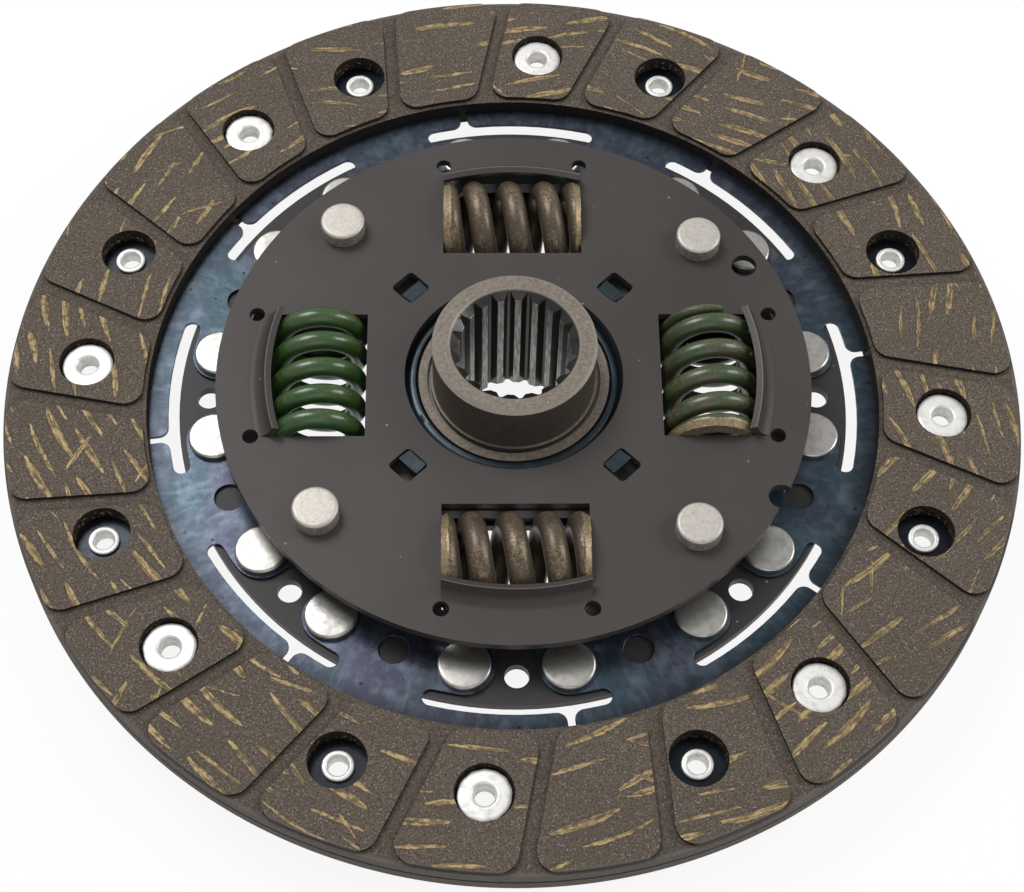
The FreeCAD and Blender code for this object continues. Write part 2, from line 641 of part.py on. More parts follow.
def pin_holes(body, label, height, thickness):
    """Cut the holes for the stop pins through a side plate."""
    holes = new_sketch(body, label + "_pin_holes", "XY_Plane", height)
    radius = "pin_shank_radius + fit_gap"
    draw_circles(holes, [
        (polar("pin_circle", "pin_pair_angle"), radius),
        (polar("pin_circle", "pin_second_pair_angle"), radius),
        (polar("pin_circle", "pin_pair_angle + 180"), radius),
        (polar("pin_circle", "pin_second_pair_angle + 180"), radius),
    ])
    return pocket(body, holes, thickness)


def make_cover_plate():
    """Make the front side plate."""
    body = new_body("cover_plate")
    centre = ("0", "0")
    blank = new_sketch(body, "cover_blank", "XY_Plane", COVER_REAR)
    draw_circles(blank, [(centre, "cover_radius"), (centre, "cover_bore_radius")])
    pad(body, blank, "cover_thickness")
    repeat(body, [window_cut(body, "cover", COVER_FRONT, "cover_thickness")], "window_count")
    repeat(body, add_lips(body, "cover", "cover_thickness", True), "window_count")
    # The reliefs go through the lips' roots as well as the sheet.
    relief = relief_cut(body, "cover", "%s + lip_thickness" % COVER_FRONT, "cover_thickness + lip_thickness")
    square = new_sketch(body, "cover_square", "XY_Plane", COVER_FRONT, "180 / window_count")
    side = "lug_hole_side / 2"
    flat = "(lug_hole_side / 2 - lug_hole_corner)"
    middle = "lug_hole_circle"
    corners = [
        ("%s - %s" % (middle, flat), "-" + side),
        ("%s + %s" % (middle, flat), "-" + side),
        ("%s + %s" % (middle, side), "-" + flat),
        ("%s + %s" % (middle, side), flat),
        ("%s + %s" % (middle, flat), side),
        ("%s - %s" % (middle, flat), side),
        ("%s - %s" % (middle, side), flat),
        ("%s - %s" % (middle, side), "-" + flat),
    ]
    draw_outline(square, corners, {number: ("lug_hole_corner", 1) for number in (1, 3, 5, 7)})
    repeat(body, [relief, pocket(body, square, "cover_thickness")], "window_count")
    pin_holes(body, "cover", COVER_FRONT, "cover_thickness")
    index = new_sketch(body, "cover_index", "XY_Plane", COVER_FRONT)
    draw_circles(index, [
        (polar("index_hole_circle", "index_hole_angle"), "index_hole_radius"),
        (polar("edge_bite_circle", "edge_bite_angle"), "index_hole_radius"),
    ])
    pocket(body, index, "cover_thickness")
    return body


def make_drive_plate():
    """Make the rear side plate, which carries the cushion plate."""
    body = new_body("drive_plate")
    centre = ("0", "0")
    blank = new_sketch(body, "drive_blank", "XY_Plane", DRIVE_REAR)
    draw_circles(blank, [(centre, "drive_radius"), (centre, "drive_bore_radius")])
    pad(body, blank, "drive_thickness")
    repeat(body, [window_cut(body, "drive", DRIVE_FRONT, "drive_thickness")], "window_count")
    repeat(body, add_lips(body, "drive", "drive_thickness", False), "window_count")
    repeat(body, [relief_cut(body, "drive", DRIVE_FRONT, "drive_thickness + lip_thickness")], "window_count")
    pin_holes(body, "drive", DRIVE_FRONT, "drive_thickness")
    holes = new_sketch(body, "drive_holes", "XY_Plane", DRIVE_FRONT)
    draw_circles(holes, [
        (polar("cushion_rivet_circle", "cushion_rivet_angle"), "cushion_rivet_shank_radius + fit_gap"),
        (polar("cushion_rivet_circle", "-cushion_rivet_angle"), "cushion_rivet_shank_radius + fit_gap"),
        (("drive_hole_circle", "0"), "drive_hole_radius"),
    ])
    repeat(body, [pocket(body, holes, "drive_thickness")], "facing_rivet_count")
    return body


def make_cushion_rivets():
    """Make the flat-headed rivets, in pairs either side of each slot's middle."""
    body = new_body("cushion_rivets")
    features = []
    head = "(cushion_thickness / 2)"
    top = "%s + cushion_rivet_head_thickness" % head
    tail = "(%s - cushion_rivet_tail_thickness)" % DRIVE_REAR
    middle = "cushion_rivet_circle"
    for name, turn in (("left_rivet", "-cushion_rivet_angle"), ("right_rivet", "cushion_rivet_angle")):
        sketch = new_sketch(body, name, "XZ_Plane", turn=turn)
        draw_outline(sketch, [
            (middle, tail),
            ("%s + cushion_rivet_tail_radius * 0.75" % middle, tail),
            ("%s + cushion_rivet_tail_radius" % middle, "%s + cushion_rivet_tail_thickness / 2" % tail),
            ("%s + cushion_rivet_tail_radius" % middle, DRIVE_REAR),
            ("%s + cushion_rivet_shank_radius" % middle, DRIVE_REAR),
            ("%s + cushion_rivet_shank_radius" % middle, head),
            ("%s + cushion_rivet_head_radius" % middle, head),
            ("%s + cushion_rivet_head_radius" % middle, "%s - cushion_rivet_head_round" % top),
            ("%s + cushion_rivet_head_radius - cushion_rivet_head_round" % middle, top),
            (middle, top),
        ], {7: ("cushion_rivet_head_round", 1)})
        feature = body.newObject("PartDesign::Revolution", name + "_turned")
        feature.Profile = sketch
        feature.ReferenceAxis = (sketch, ["Axis0"])
        line = sketch.addGeometry(Part.LineSegment(Vector(value(middle), 0, 0), Vector(value(middle), 1, 0)), True)
        place_point(sketch, line, 1, (middle, "0"), "axis_foot")
        place_point(sketch, line, 2, (middle, "1"), "axis_head")
        feature.Angle = 360
        features.append(feature)
        doc.recompute()
    repeat(body, features, "facing_rivet_count")
    return body


def make_stop_pin(label, angle):
    """Make one shouldered pin, and stand it at its angle."""
    top = "(%s + pin_head_height)" % COVER_FRONT
    tail = "(%s - pin_tail_height)" % DRIVE_REAR
    body = turned_profile(label, [
        ("0", tail),
        ("pin_tail_radius * 0.7", tail),
        ("pin_tail_radius", "%s + pin_tail_height / 2" % tail),
        ("pin_tail_radius", DRIVE_REAR),
        ("pin_shank_radius", DRIVE_REAR),
        ("pin_shank_radius", DRIVE_FRONT),
        ("pin_body_radius", DRIVE_FRONT),
        ("pin_body_radius", COVER_REAR),
        ("pin_shank_radius", COVER_REAR),
        ("pin_shank_radius", COVER_FRONT),
        ("pin_head_radius", COVER_FRONT),
        ("pin_head_radius", "%s - pin_head_chamfer" % top),
        ("pin_head_radius - pin_head_chamfer", top),
        ("0", top),
    ])
    across, up = polar("pin_circle", angle)
    bind(body, "Placement.Base.x", across)
    bind(body, "Placement.Base.y", up)
    return body


def make_hub():
    """Make the hub: barrel, shoulder, relief groove and the internal spline."""
    rear = "(-cushion_height)"
    body = turned_profile("hub", [
        ("bore_mouth_radius", rear),
        ("hub_barrel_radius - hub_chamfer", rear),
        ("hub_barrel_radius", "%s + hub_chamfer" % rear),
        ("hub_barrel_radius", FLANGE_REAR),
        ("hub_seat_radius", FLANGE_REAR),
        ("hub_seat_radius", FLANGE_FRONT),
        ("hub_shoulder_radius", FLANGE_FRONT),
        ("hub_shoulder_radius", SHOULDER_FRONT),
        ("hub_relief_radius", SHOULDER_FRONT),
        ("hub_relief_radius", "%s - hub_relief_depth" % SHOULDER_FRONT),
        ("hub_foot_radius", "%s - hub_relief_depth" % SHOULDER_FRONT),
        ("hub_foot_radius", "%s + hub_foot_height" % SHOULDER_FRONT),
        ("hub_barrel_radius", "%s + hub_foot_height" % SHOULDER_FRONT),
        ("hub_barrel_radius", "hub_front - hub_chamfer"),
        ("hub_barrel_radius - hub_chamfer", "hub_front"),
        ("bore_mouth_radius", "hub_front"),
        ("spline_minor_radius", "hub_front - bore_mouth_depth"),
        ("spline_minor_radius", "%s + bore_mouth_depth" % rear),
    ])
    gap = new_sketch(body, "spline_gap", "XY_Plane", "hub_front", "90 + 90 / spline_teeth")
    flare = "((spline_mouth_half_width - spline_root_half_width) / (spline_major_radius - spline_minor_radius))"
    throat = "(spline_mouth_half_width + %s)" % flare
    draw_outline(gap, [
        ("spline_minor_radius - 1", "-" + throat),
        ("spline_major_radius", "-spline_root_half_width"),
        ("spline_major_radius", "spline_root_half_width"),
        ("spline_minor_radius - 1", throat),
    ])
    repeat(body, [pocket(body, gap, "hub_front + cushion_height")], "spline_teeth")
    return body


def make_hub_flange():
    """Make the flange: a window for each spring, and a notch for each stop pin."""
    body = new_body("hub_flange")
    centre = ("0", "0")
    blank = new_sketch(body, "flange_blank", "XY_Plane", FLANGE_REAR)
    draw_circles(blank, [(centre, "flange_radius"), (centre, "hub_seat_radius")])
    pad(body, blank, "flange_thickness")
    window = new_sketch(body, "flange_window", "XY_Plane", FLANGE_FRONT)
    half = "window_length / 2"
    draw_outline(window, [
        ("flange_window_inner", "-" + half),
        ("flange_window_outer", "-" + half),
        ("flange_window_outer", half),
        ("flange_window_inner", half),
    ])
    repeat(body, [pocket(body, window, "flange_thickness")], "window_count")
    swing = "(twist_limit + asin((pin_body_radius + stop_gap) / pin_circle) / 1deg)"
    floor = "(pin_circle - pin_body_radius - notch_depth_gap)"
    beyond = "(flange_radius + 1)"
    notches = []
    for name, angle in (("first_notch", "pin_pair_angle"), ("second_notch", "pin_second_pair_angle")):
        notch = new_sketch(body, name, "XY_Plane", FLANGE_FRONT, angle)
        points = [polar(floor, "-" + swing), polar(beyond, "-" + swing), polar(beyond, swing), polar(floor, swing)]
        draw_outline(notch, points, {1: (beyond, 1), 3: (floor, -1)})
        notches.append(pocket(body, notch, "flange_thickness"))
    repeat(body, notches, "2")
    return body


def make_key_washer():
    """Make the blued washer: a flat ring, a raised inner rim, and a lug for each square hole."""
    lift = "(%s + key_rim_rise)" % KEY_FRONT
    body = turned_profile("key_washer", [
        ("key_flat_radius", KEY_REAR),
        ("key_outer_radius", KEY_REAR),
        ("key_outer_radius", KEY_FRONT),
        ("key_flat_radius - key_thickness / 2", KEY_FRONT),
        ("key_inner_radius + key_thickness * 1.2", lift),
        ("key_inner_radius + key_thickness * 0.5", lift),
        ("key_inner_radius", "%s - key_thickness * 0.5" % lift),
        ("key_inner_radius", "%s - key_thickness" % lift),
    ])
    sketch = new_sketch(body, "lug", "XZ_Plane", turn="180 / window_count")
    riser = "(key_outer_radius - key_thickness)"
    top = "(%s - key_thickness / 4)" % COVER_FRONT
    draw_outline(sketch, [
        (riser, KEY_FRONT),
        ("key_outer_radius", KEY_FRONT),
        ("key_outer_radius", "%s - key_thickness" % top),
        ("lug_tip_radius", "%s - key_thickness" % top),
        ("lug_tip_radius", top),
        (riser, top),
    ])
    lug = revolve(body, sketch, "2 * asin(lug_width / 2 / key_outer_radius) / 1deg")
    repeat(body, [lug], "window_count")
    return body


def make_rings():
    """Make the plain rings, the dished washer and the bush that lie round the hub."""
    front = ring_section("friction_ring_inner", "friction_ring_outer", RING_REAR, KEY_REAR)
    rear = ring_section("rear_ring_inner", "rear_ring_outer", DRIVE_FRONT, "%s - seat_gap" % FLANGE_REAR)
    dish = [
        ("friction_spring_inner", KEY_FRONT),
        ("friction_spring_outer", "%s - friction_spring_thickness" % COVER_REAR),
        ("friction_spring_outer", COVER_REAR),
        ("friction_spring_inner", "%s + friction_spring_thickness" % KEY_FRONT),
    ]
    bore = "hub_barrel_radius + bush_bore_gap"
    bush = [
        (bore, "%s - bush_tail" % DRIVE_REAR),
        ("drive_bore_radius - fit_gap", "%s - bush_tail" % DRIVE_REAR),
        ("drive_bore_radius - fit_gap", DRIVE_FRONT),
        ("bush_collar_radius", DRIVE_FRONT),
        ("bush_collar_radius", "%s - seat_gap" % FLANGE_REAR),
        (bore, "%s - seat_gap" % FLANGE_REAR),
    ]
    return [
        turned_profile("front_friction_ring", front),
        turned_profile("rear_friction_ring", rear),
        turned_profile("friction_spring", dish),
        turned_profile("hub_bush", bush),
    ]


def make_spring(label, direction, wire, pitch, phase):
    """Wind one damper spring, grind its ends flat and bevelled, and lay it in its window.

    The coil is wound about the body's own Z axis, past both ends, and then turned down.
    """
    body = doc.addObject("PartDesign::Body", label)
    body.Label = label
    half = "(window_length / 2 - spring_end_gap)"
    turns = "(ceil(%s / %s) + 1)" % (half, pitch)
    start = "(-(%s + %s) * %s)" % (turns, phase, pitch)
    section = new_sketch(body, label + "_wire", "XZ_Plane")
    mean = "(spring_outer_radius - %s)" % wire
    draw_circles(section, [((mean, start), wire)])
    coil = body.newObject("PartDesign::AdditiveHelix", label + "_coil")
    coil.Profile = section
    coil.ReferenceAxis = (section, ["V_Axis"])
    coil.Mode = 0
    bind(coil, "Pitch", pitch)
    bind(coil, "Height", "2 * %s * %s" % (turns, pitch))
    doc.recompute()
    outside = "(spring_outer_radius + 2)"
    far = "((%s + 2) * %s + %s)" % (turns, pitch, half)
    slope = "(spring_chamfer_length / spring_chamfer_depth)"
    bevel = "%s * (%s - spring_outer_radius + spring_chamfer_depth)" % (slope, outside)
    for name, sign in (("_front_end", ""), ("_back_end", "-")):
        grind = new_sketch(body, label + name, "XZ_Plane")
        draw_outline(grind, [
            ("0", sign + half),
            ("spring_outer_radius - spring_chamfer_depth", sign + half),
            (outside, "%s(%s - %s)" % (sign, half, bevel)),
            (outside, sign + far),
            ("0", sign + far),
        ])
        revolve(body, grind, cut=True)
    lay_down = Rotation(Vector(0, 0, 1), direction) * Rotation(Vector(1, 0, 0), -90)
    body.Placement = Placement(Vector(0, 0, 0), lay_down)
    across, up = polar("spring_circle", str(direction))
    bind(body, "Placement.Base.x", across)
    bind(body, "Placement.Base.y", up)
    bind(body, "Placement.Base.z", "cushion_height + %s" % SPRING_HEIGHT)
    return body


def check(parts):
    """Stop if anything failed: a feature, a solid, or a cut that removed nothing."""
    for feature in doc.Objects:
        if "Invalid" in feature.State or "Error" in feature.State:
            raise RuntimeError("%s failed: %s" % (feature.Label, feature.State))
        if feature.TypeId in ("PartDesign::Pocket", "PartDesign::Groove"):
            if feature.Shape.Volume >= feature.BaseFeature.Shape.Volume - 1e-6:
                raise RuntimeError("%s cut nothing" % feature.Label)
    for part in parts:
        shape = part.Shape
        if shape.isNull() or not shape.isValid() or not shape.Solids:
            raise RuntimeError("%s is not a sound solid" % part.Label)


def export(parts):
    """Write each sub-part to its own file."""
    os.makedirs("parts", exist_ok=True)
    for part in parts:
        part.Shape.exportStep("parts/%s.step" % part.Label)
        box = part.Shape.BoundBox
        print("%-22s %2d solid(s) %10.1f mm3  z %6.2f to %6.2f" % (
            part.Label, len(part.Shape.Solids), part.Shape.Volume, box.ZMin, box.ZMax))


def main():
    """Build every sub-part and write it."""
    parts = [make_facing("front_facing"), make_facing("rear_facing")]
    parts += [make_facing_rivets("front_facing_rivets"), make_facing_rivets("rear_facing_rivets")]
    turn_over(parts[1])
    turn_over(parts[3])
    parts += [make_cushion_plate(), make_drive_plate(), make_cover_plate(), make_cushion_rivets()]
    pins = (
        ("stop_pin_a", "pin_pair_angle"),
        ("stop_pin_b", "pin_second_pair_angle"),
        ("stop_pin_c", "pin_pair_angle + 180"),
        ("stop_pin_d", "pin_second_pair_angle + 180"),
    )
    parts += [make_stop_pin(label, angle) for label, angle in pins]
    parts += [make_hub(), make_hub_flange(), make_key_washer()]
    parts += make_rings()
    for name, direction in (("north", 90), ("south", 270)):
        parts.append(make_spring("spring_" + name, direction, "main_wire_radius", "main_pitch", name + "_phase"))
    for name, direction in (("east", 0), ("west", 180)):
        parts.append(make_spring("spring_" + name, direction, "light_wire_radius", "light_pitch", name + "_phase"))
    doc.recompute()
    check(parts)
    export(parts)


main()
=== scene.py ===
"""Dress a packed clutch disc: finishes, finer pieces, a pale studio and a camera."""

import logging
import math
from contextlib import contextmanager
from dataclasses import dataclass, field
from enum import Enum
from typing import Any, Callable, Iterator

import bmesh
import bpy
import numpy as np
from mathutils import Matrix, Vector


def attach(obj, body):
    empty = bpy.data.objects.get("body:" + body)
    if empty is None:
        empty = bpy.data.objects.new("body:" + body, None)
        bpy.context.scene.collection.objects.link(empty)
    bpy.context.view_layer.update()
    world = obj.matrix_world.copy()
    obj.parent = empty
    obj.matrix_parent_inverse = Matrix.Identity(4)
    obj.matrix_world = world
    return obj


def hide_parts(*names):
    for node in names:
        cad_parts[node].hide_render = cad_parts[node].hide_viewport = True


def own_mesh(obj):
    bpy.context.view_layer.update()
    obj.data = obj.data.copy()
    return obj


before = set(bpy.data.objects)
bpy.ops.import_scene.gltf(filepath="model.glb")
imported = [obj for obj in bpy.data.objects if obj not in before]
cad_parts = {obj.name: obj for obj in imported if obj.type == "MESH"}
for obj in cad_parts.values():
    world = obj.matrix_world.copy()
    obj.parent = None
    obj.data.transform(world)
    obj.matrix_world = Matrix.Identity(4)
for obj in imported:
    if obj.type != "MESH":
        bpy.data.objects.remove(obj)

LOG = logging.getLogger("clutch_disc")
MM = 0.001
SHARP = math.radians(35.0)
LEVEL = math.radians(0.4)

Colour = tuple[float, float, float]
Grid = np.ndarray
Place = tuple[float, float]
Span = tuple[float, float]

WHITE: Colour = (1.0, 1.0, 1.0)


class Side(Enum):
    """The two faces of the disc; the value is the direction of its outward normal."""

    FRONT = 1.0
    REAR = -1.0


# Meshes worked out with numpy


def polar(radius: float, degrees: float) -> tuple[float, float]:
    """Give x and y of a point at a radius and an angle.

    Args:
        radius: Distance from the shaft axis.
        degrees: Angle from +X, anticlockwise seen from the front.

    Returns:
        The two coordinates, in the radius's unit.
    """
    angle = math.radians(degrees)
    return radius * math.cos(angle), radius * math.sin(angle)


def ring_angles(start: float, count: int) -> list[float]:
    """Give the angles of things that stand evenly round the disc, in degrees."""
    return [start + 360.0 * k / count for k in range(count)]


def linked(name: str, data: bpy.types.ID) -> bpy.types.Object:
    """Make an object of some data and link it to the scene.

    Args:
        name: Name of the object.
        data: What it shows: a mesh, a light or a camera.

    Returns:
        The new object.
    """
    made = bpy.data.objects.new(name, data)
    bpy.context.scene.collection.objects.link(made)
    return made


@contextmanager
def edited(mesh: bpy.types.Mesh) -> Iterator[bmesh.types.BMesh]:
    """Open a mesh for editing, and write it back at the end.

    Args:
        mesh: The mesh.

    Yields:
        Its points, edges and faces, open to change.
    """
    work = bmesh.new()
    work.from_mesh(mesh)
    yield work
    work.to_mesh(mesh)
    work.free()


def grid_faces(rows: int, columns: int, close_rows: bool) -> np.ndarray:
    """Number the four corners of every quad of a grid of points whose columns wrap round.

    The point in row i and column j has the number i * columns + j. A quad joins it to its
    neighbours in the next row and the next column.

    Args:
        rows: Rows of points.
        columns: Columns of points.
        close_rows: Whether the last row is joined to the first.

    Returns:
        An array with four point numbers to a row.
    """
    i = np.arange(rows if close_rows else rows - 1)[:, None]
    j = np.arange(columns)[None, :]
    down, right = (i + 1) % rows, (j + 1) % columns
    corners = [i * columns + j, down * columns + j, down * columns + right, i * columns + right]
    return np.stack([np.broadcast_to(c, (i.size, j.size)) for c in corners], axis=-1).reshape(-1, 4)


def mesh_object(name: str, points: np.ndarray, faces: list[tuple[int, ...]]) -> bpy.types.Object:
    """Make a smooth mesh object at the origin.

    Args:
        name: Name of the object.
        points: Points in millimetres, in the disc's frame.
        faces: Point numbers of each face.

    Returns:
        The new object, linked to the scene.
    """
    mesh = bpy.data.meshes.new(name)
    mesh.from_pydata((points.reshape(-1, 3) * MM).tolist(), [], faces)
    mesh.polygons.foreach_set("use_smooth", np.ones(len(mesh.polygons), bool))
    mesh.update()
    return linked(name, mesh)


def point_values(piece: bpy.types.Object, name: str, values: np.ndarray) -> None:
    """Keep one number per point on a mesh, for a material to read.

    Args:
        piece: The mesh object.
        name: Name of the attribute.
        values: One value per point.
    """
    layer = piece.data.attributes.new(name, "FLOAT", "POINT")
    layer.data.foreach_set("value", values.astype(np.float32).ravel())


def turned_grid(
    profile: np.ndarray, segments: int, wobble: Callable[[Grid, Grid], Grid] | None = None
) -> Grid:
    """Turn a profile about the Z axis.

    A point of the surface is (r cos a, r sin a, z), where r and z come from the profile and a
    runs round in equal steps. The wobble gives a factor on r for each point.

    Args:
        profile: Radius and height of each profile point.
        segments: Steps round the axis.
        wobble: Function of the angle and the profile radius that gives the factor.

    Returns:
        Points in an array of profile points by segments by 3.
    """
    angle = np.linspace(0.0, 2 * np.pi, segments, endpoint=False)[None, :]
    radius = np.repeat(profile[:, :1], segments, axis=1)
    if wobble is not None:
        radius = radius * wobble(angle, radius)
    height = np.repeat(profile[:, 1:2], segments, axis=1)
    return np.stack([radius * np.cos(angle), radius * np.sin(angle), height], axis=-1)


def soft_profile(corners: list[tuple[float, float, float]], closed: bool, steps: int = 5) -> np.ndarray:
    """Round the corners of a profile with arcs.

    Each corner is given as radius, height and rounding. A rounded corner is replaced by points
    on a quadratic curve between the places where the rounding leaves its two sides.

    Args:
        corners: The corners in order.
        closed: Whether the last corner is joined to the first.
        steps: Points on each rounding.

    Returns:
        An array of radius and height.
    """
    spots = [np.array(corner[:2]) for corner in corners]
    out: list[np.ndarray] = []
    count = len(corners)
    for number, (spot, corner) in enumerate(zip(spots, corners)):
        rounding = corner[2]
        at_end = not closed and number in (0, count - 1)
        if rounding <= 0.0 or at_end:
            out.append(spot)
            continue
        before, after = spots[number - 1] - spot, spots[(number + 1) % count] - spot
        start = spot + before / np.linalg.norm(before) * rounding
        end = spot + after / np.linalg.norm(after) * rounding
        for t in np.linspace(0.0, 1.0, steps):
            out.append((1 - t) ** 2 * start + 2 * t * (1 - t) * spot + t ** 2 * end)
    return np.array(out)


def ragged(seed: int, depth: float, waves: int, start: float) -> Callable[[Grid, Grid], Grid]:
    """Make a wobble that leaves a rim ragged, as a torn or nicked sheet is.

    The factor on the radius is 1 plus a sum of sines round the axis, with random weights and
    phases, times the depth, and it fades in beyond a radius so that the middle stays round.

    Args:
        seed: Seed of the random weights.
        depth: Largest share of the radius by which the rim moves.
        waves: How many sines are added.
        start: Radius, in millimetres, at which the wobble starts.

    Returns:
        The wobble, for turned_grid.
    """
    rng = np.random.default_rng(seed)
    orders = rng.integers(2, 17, waves)
    phases = rng.uniform(0, 2 * np.pi, waves)
    weights = rng.normal(0, 1, waves) / np.sqrt(orders)

    def wobble(angle: Grid, radius: Grid) -> Grid:
        """Work the factor out for every point.

        Args:
            angle: Angle of each point.
            radius: Radius of each point of the profile.

        Returns:
            The factor on each radius.
        """
        wave = sum(w * np.sin(o * angle + p) for w, o, p in zip(weights, orders, phases))
        fade = np.clip((radius - start) / (start * 0.5), 0.0, 1.0)
        return 1.0 + depth * wave / waves * 2 * fade

    return wobble


def joined(name: str, grids: list[Grid], close_profile: bool) -> bpy.types.Object:
    """Join several grids, each closed round its columns, into one piece with faces outwards.

    Args:
        name: Name of the piece.
        grids: Grids of points in millimetres, already in place.
        close_profile: Whether each profile is a closed loop. If not, both ends are capped.

    Returns:
        The new object.
    """
    points: list[np.ndarray] = []
    faces: list[tuple[int, ...]] = []
    offset = 0
    for grid in grids:
        rows, columns = grid.shape[:2]
        quads = grid_faces(rows, columns, close_profile) + offset
        faces += [tuple(quad) for quad in quads.tolist()]
        if not close_profile:
            faces.append(tuple(range(offset, offset + columns)))
            last = offset + (rows - 1) * columns
            faces.append(tuple(range(last + columns - 1, last - 1, -1)))
        points.append(grid.reshape(-1, 3))
        offset += rows * columns
    piece = mesh_object(name, np.concatenate(points), faces)
    with edited(piece.data) as work:
        bmesh.ops.recalc_face_normals(work, faces=work.faces)
    return piece


def prism(outline: np.ndarray, low: float, high: float) -> Grid:
    """Stand a closed outline up between two heights, as a grid of two rows.

    Args:
        outline: Points of the outline in order, in millimetres.
        low: Height of the lower face.
        high: Height of the upper face.

    Returns:
        The grid, which `joined` closes with two caps.
    """
    rows = [np.column_stack([outline, np.full(len(outline), height)]) for height in (low, high)]
    return np.stack(rows)


def clean(mesh: bpy.types.Mesh) -> None:
    """Weld doubled points and join faces that lie level with one another.

    Args:
        mesh: The mesh to clean.
    """
    with edited(mesh) as work:
        bmesh.ops.remove_doubles(work, verts=work.verts, dist=1e-6)
        bmesh.ops.dissolve_limit(work, angle_limit=LEVEL, verts=work.verts, edges=work.edges)


def carved(name: str, piece: bpy.types.Object, *tools: bpy.types.Object) -> bpy.types.Object:
    """Cut tools out of a piece and put the result in its place.

    Args:
        name: Name of the result.
        piece: The piece to cut.
        *tools: The closed bodies that are taken away.

    Returns:
        The cut piece. The tools and the first piece are gone.
    """
    for tool in tools:
        cut = piece.modifiers.new("cut", "BOOLEAN")
        cut.operation = "DIFFERENCE"
        cut.solver = "EXACT"
        cut.object = tool
    seen = piece.evaluated_get(bpy.context.evaluated_depsgraph_get())
    mesh = bpy.data.meshes.new_from_object(seen)
    for spent in (piece, *tools):
        bpy.data.objects.remove(spent)
    clean(mesh)
    return linked(name, mesh)


def ease(piece: bpy.types.Object, width: float) -> None:
    """Round a piece's sharp edges, and keep its faces level.

    Args:
        piece: The piece.
        width: Width of the rounding in millimetres.
    """
    with edited(piece.data) as work:
        for edge in work.edges:
            edge.smooth = len(edge.link_faces) == 2 and edge.calc_face_angle(0.0) < SHARP
        for face in work.faces:
            face.smooth = True
    bevel = piece.modifiers.new("eased_edges", "BEVEL")
    bevel.width = width * MM
    bevel.segments = 2
    bevel.limit_method = "ANGLE"
    bevel.angle_limit = SHARP
    bevel.miter_outer = "MITER_ARC"
    level = piece.modifiers.new("level_faces", "WEIGHTED_NORMAL")
    level.mode = "FACE_AREA"
    level.weight = 80
    level.keep_sharp = True


def eased_copy(node: str, width: float) -> bpy.types.Object:
    """Copy a CAD node and round its sharp edges a little.

    Args:
        node: Name of the CAD node.
        width: Width of the rounding in millimetres.

    Returns:
        The new object, which stands for the node.
    """
    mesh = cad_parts[node].data.copy()
    mesh.name = node + "_eased"
    mesh.materials.clear()
    clean(mesh)
    mesh.normals_split_custom_set([(0.0, 0.0, 0.0)] * len(mesh.loops))
    piece = linked(node + "_eased", mesh)
    ease(piece, width)
    return piece


# Shader trees


class Value:
    """A value of a shader tree. Numbers take part in sums as Python's own do."""

    def __init__(self, graph: "Graph", socket: bpy.types.NodeSocket) -> None:
        """Keep the socket that carries the value, and the graph it belongs to."""
        self.graph = graph
        self.socket = socket

    def __add__(self, other: Any) -> "Value":
        """Add."""
        return self.graph.math("ADD", self, other)

    def __radd__(self, other: Any) -> "Value":
        """Add to a plain number."""
        return self.graph.math("ADD", other, self)

    def __sub__(self, other: Any) -> "Value":
        """Subtract."""
        return self.graph.math("SUBTRACT", self, other)

    def __rsub__(self, other: Any) -> "Value":
        """Subtract from a plain number."""
        return self.graph.math("SUBTRACT", other, self)

    def __mul__(self, other: Any) -> "Value":
        """Multiply."""
        return self.graph.math("MULTIPLY", self, other)

    def __truediv__(self, other: Any) -> "Value":
        """Divide."""
        return self.graph.math("DIVIDE", self, other)


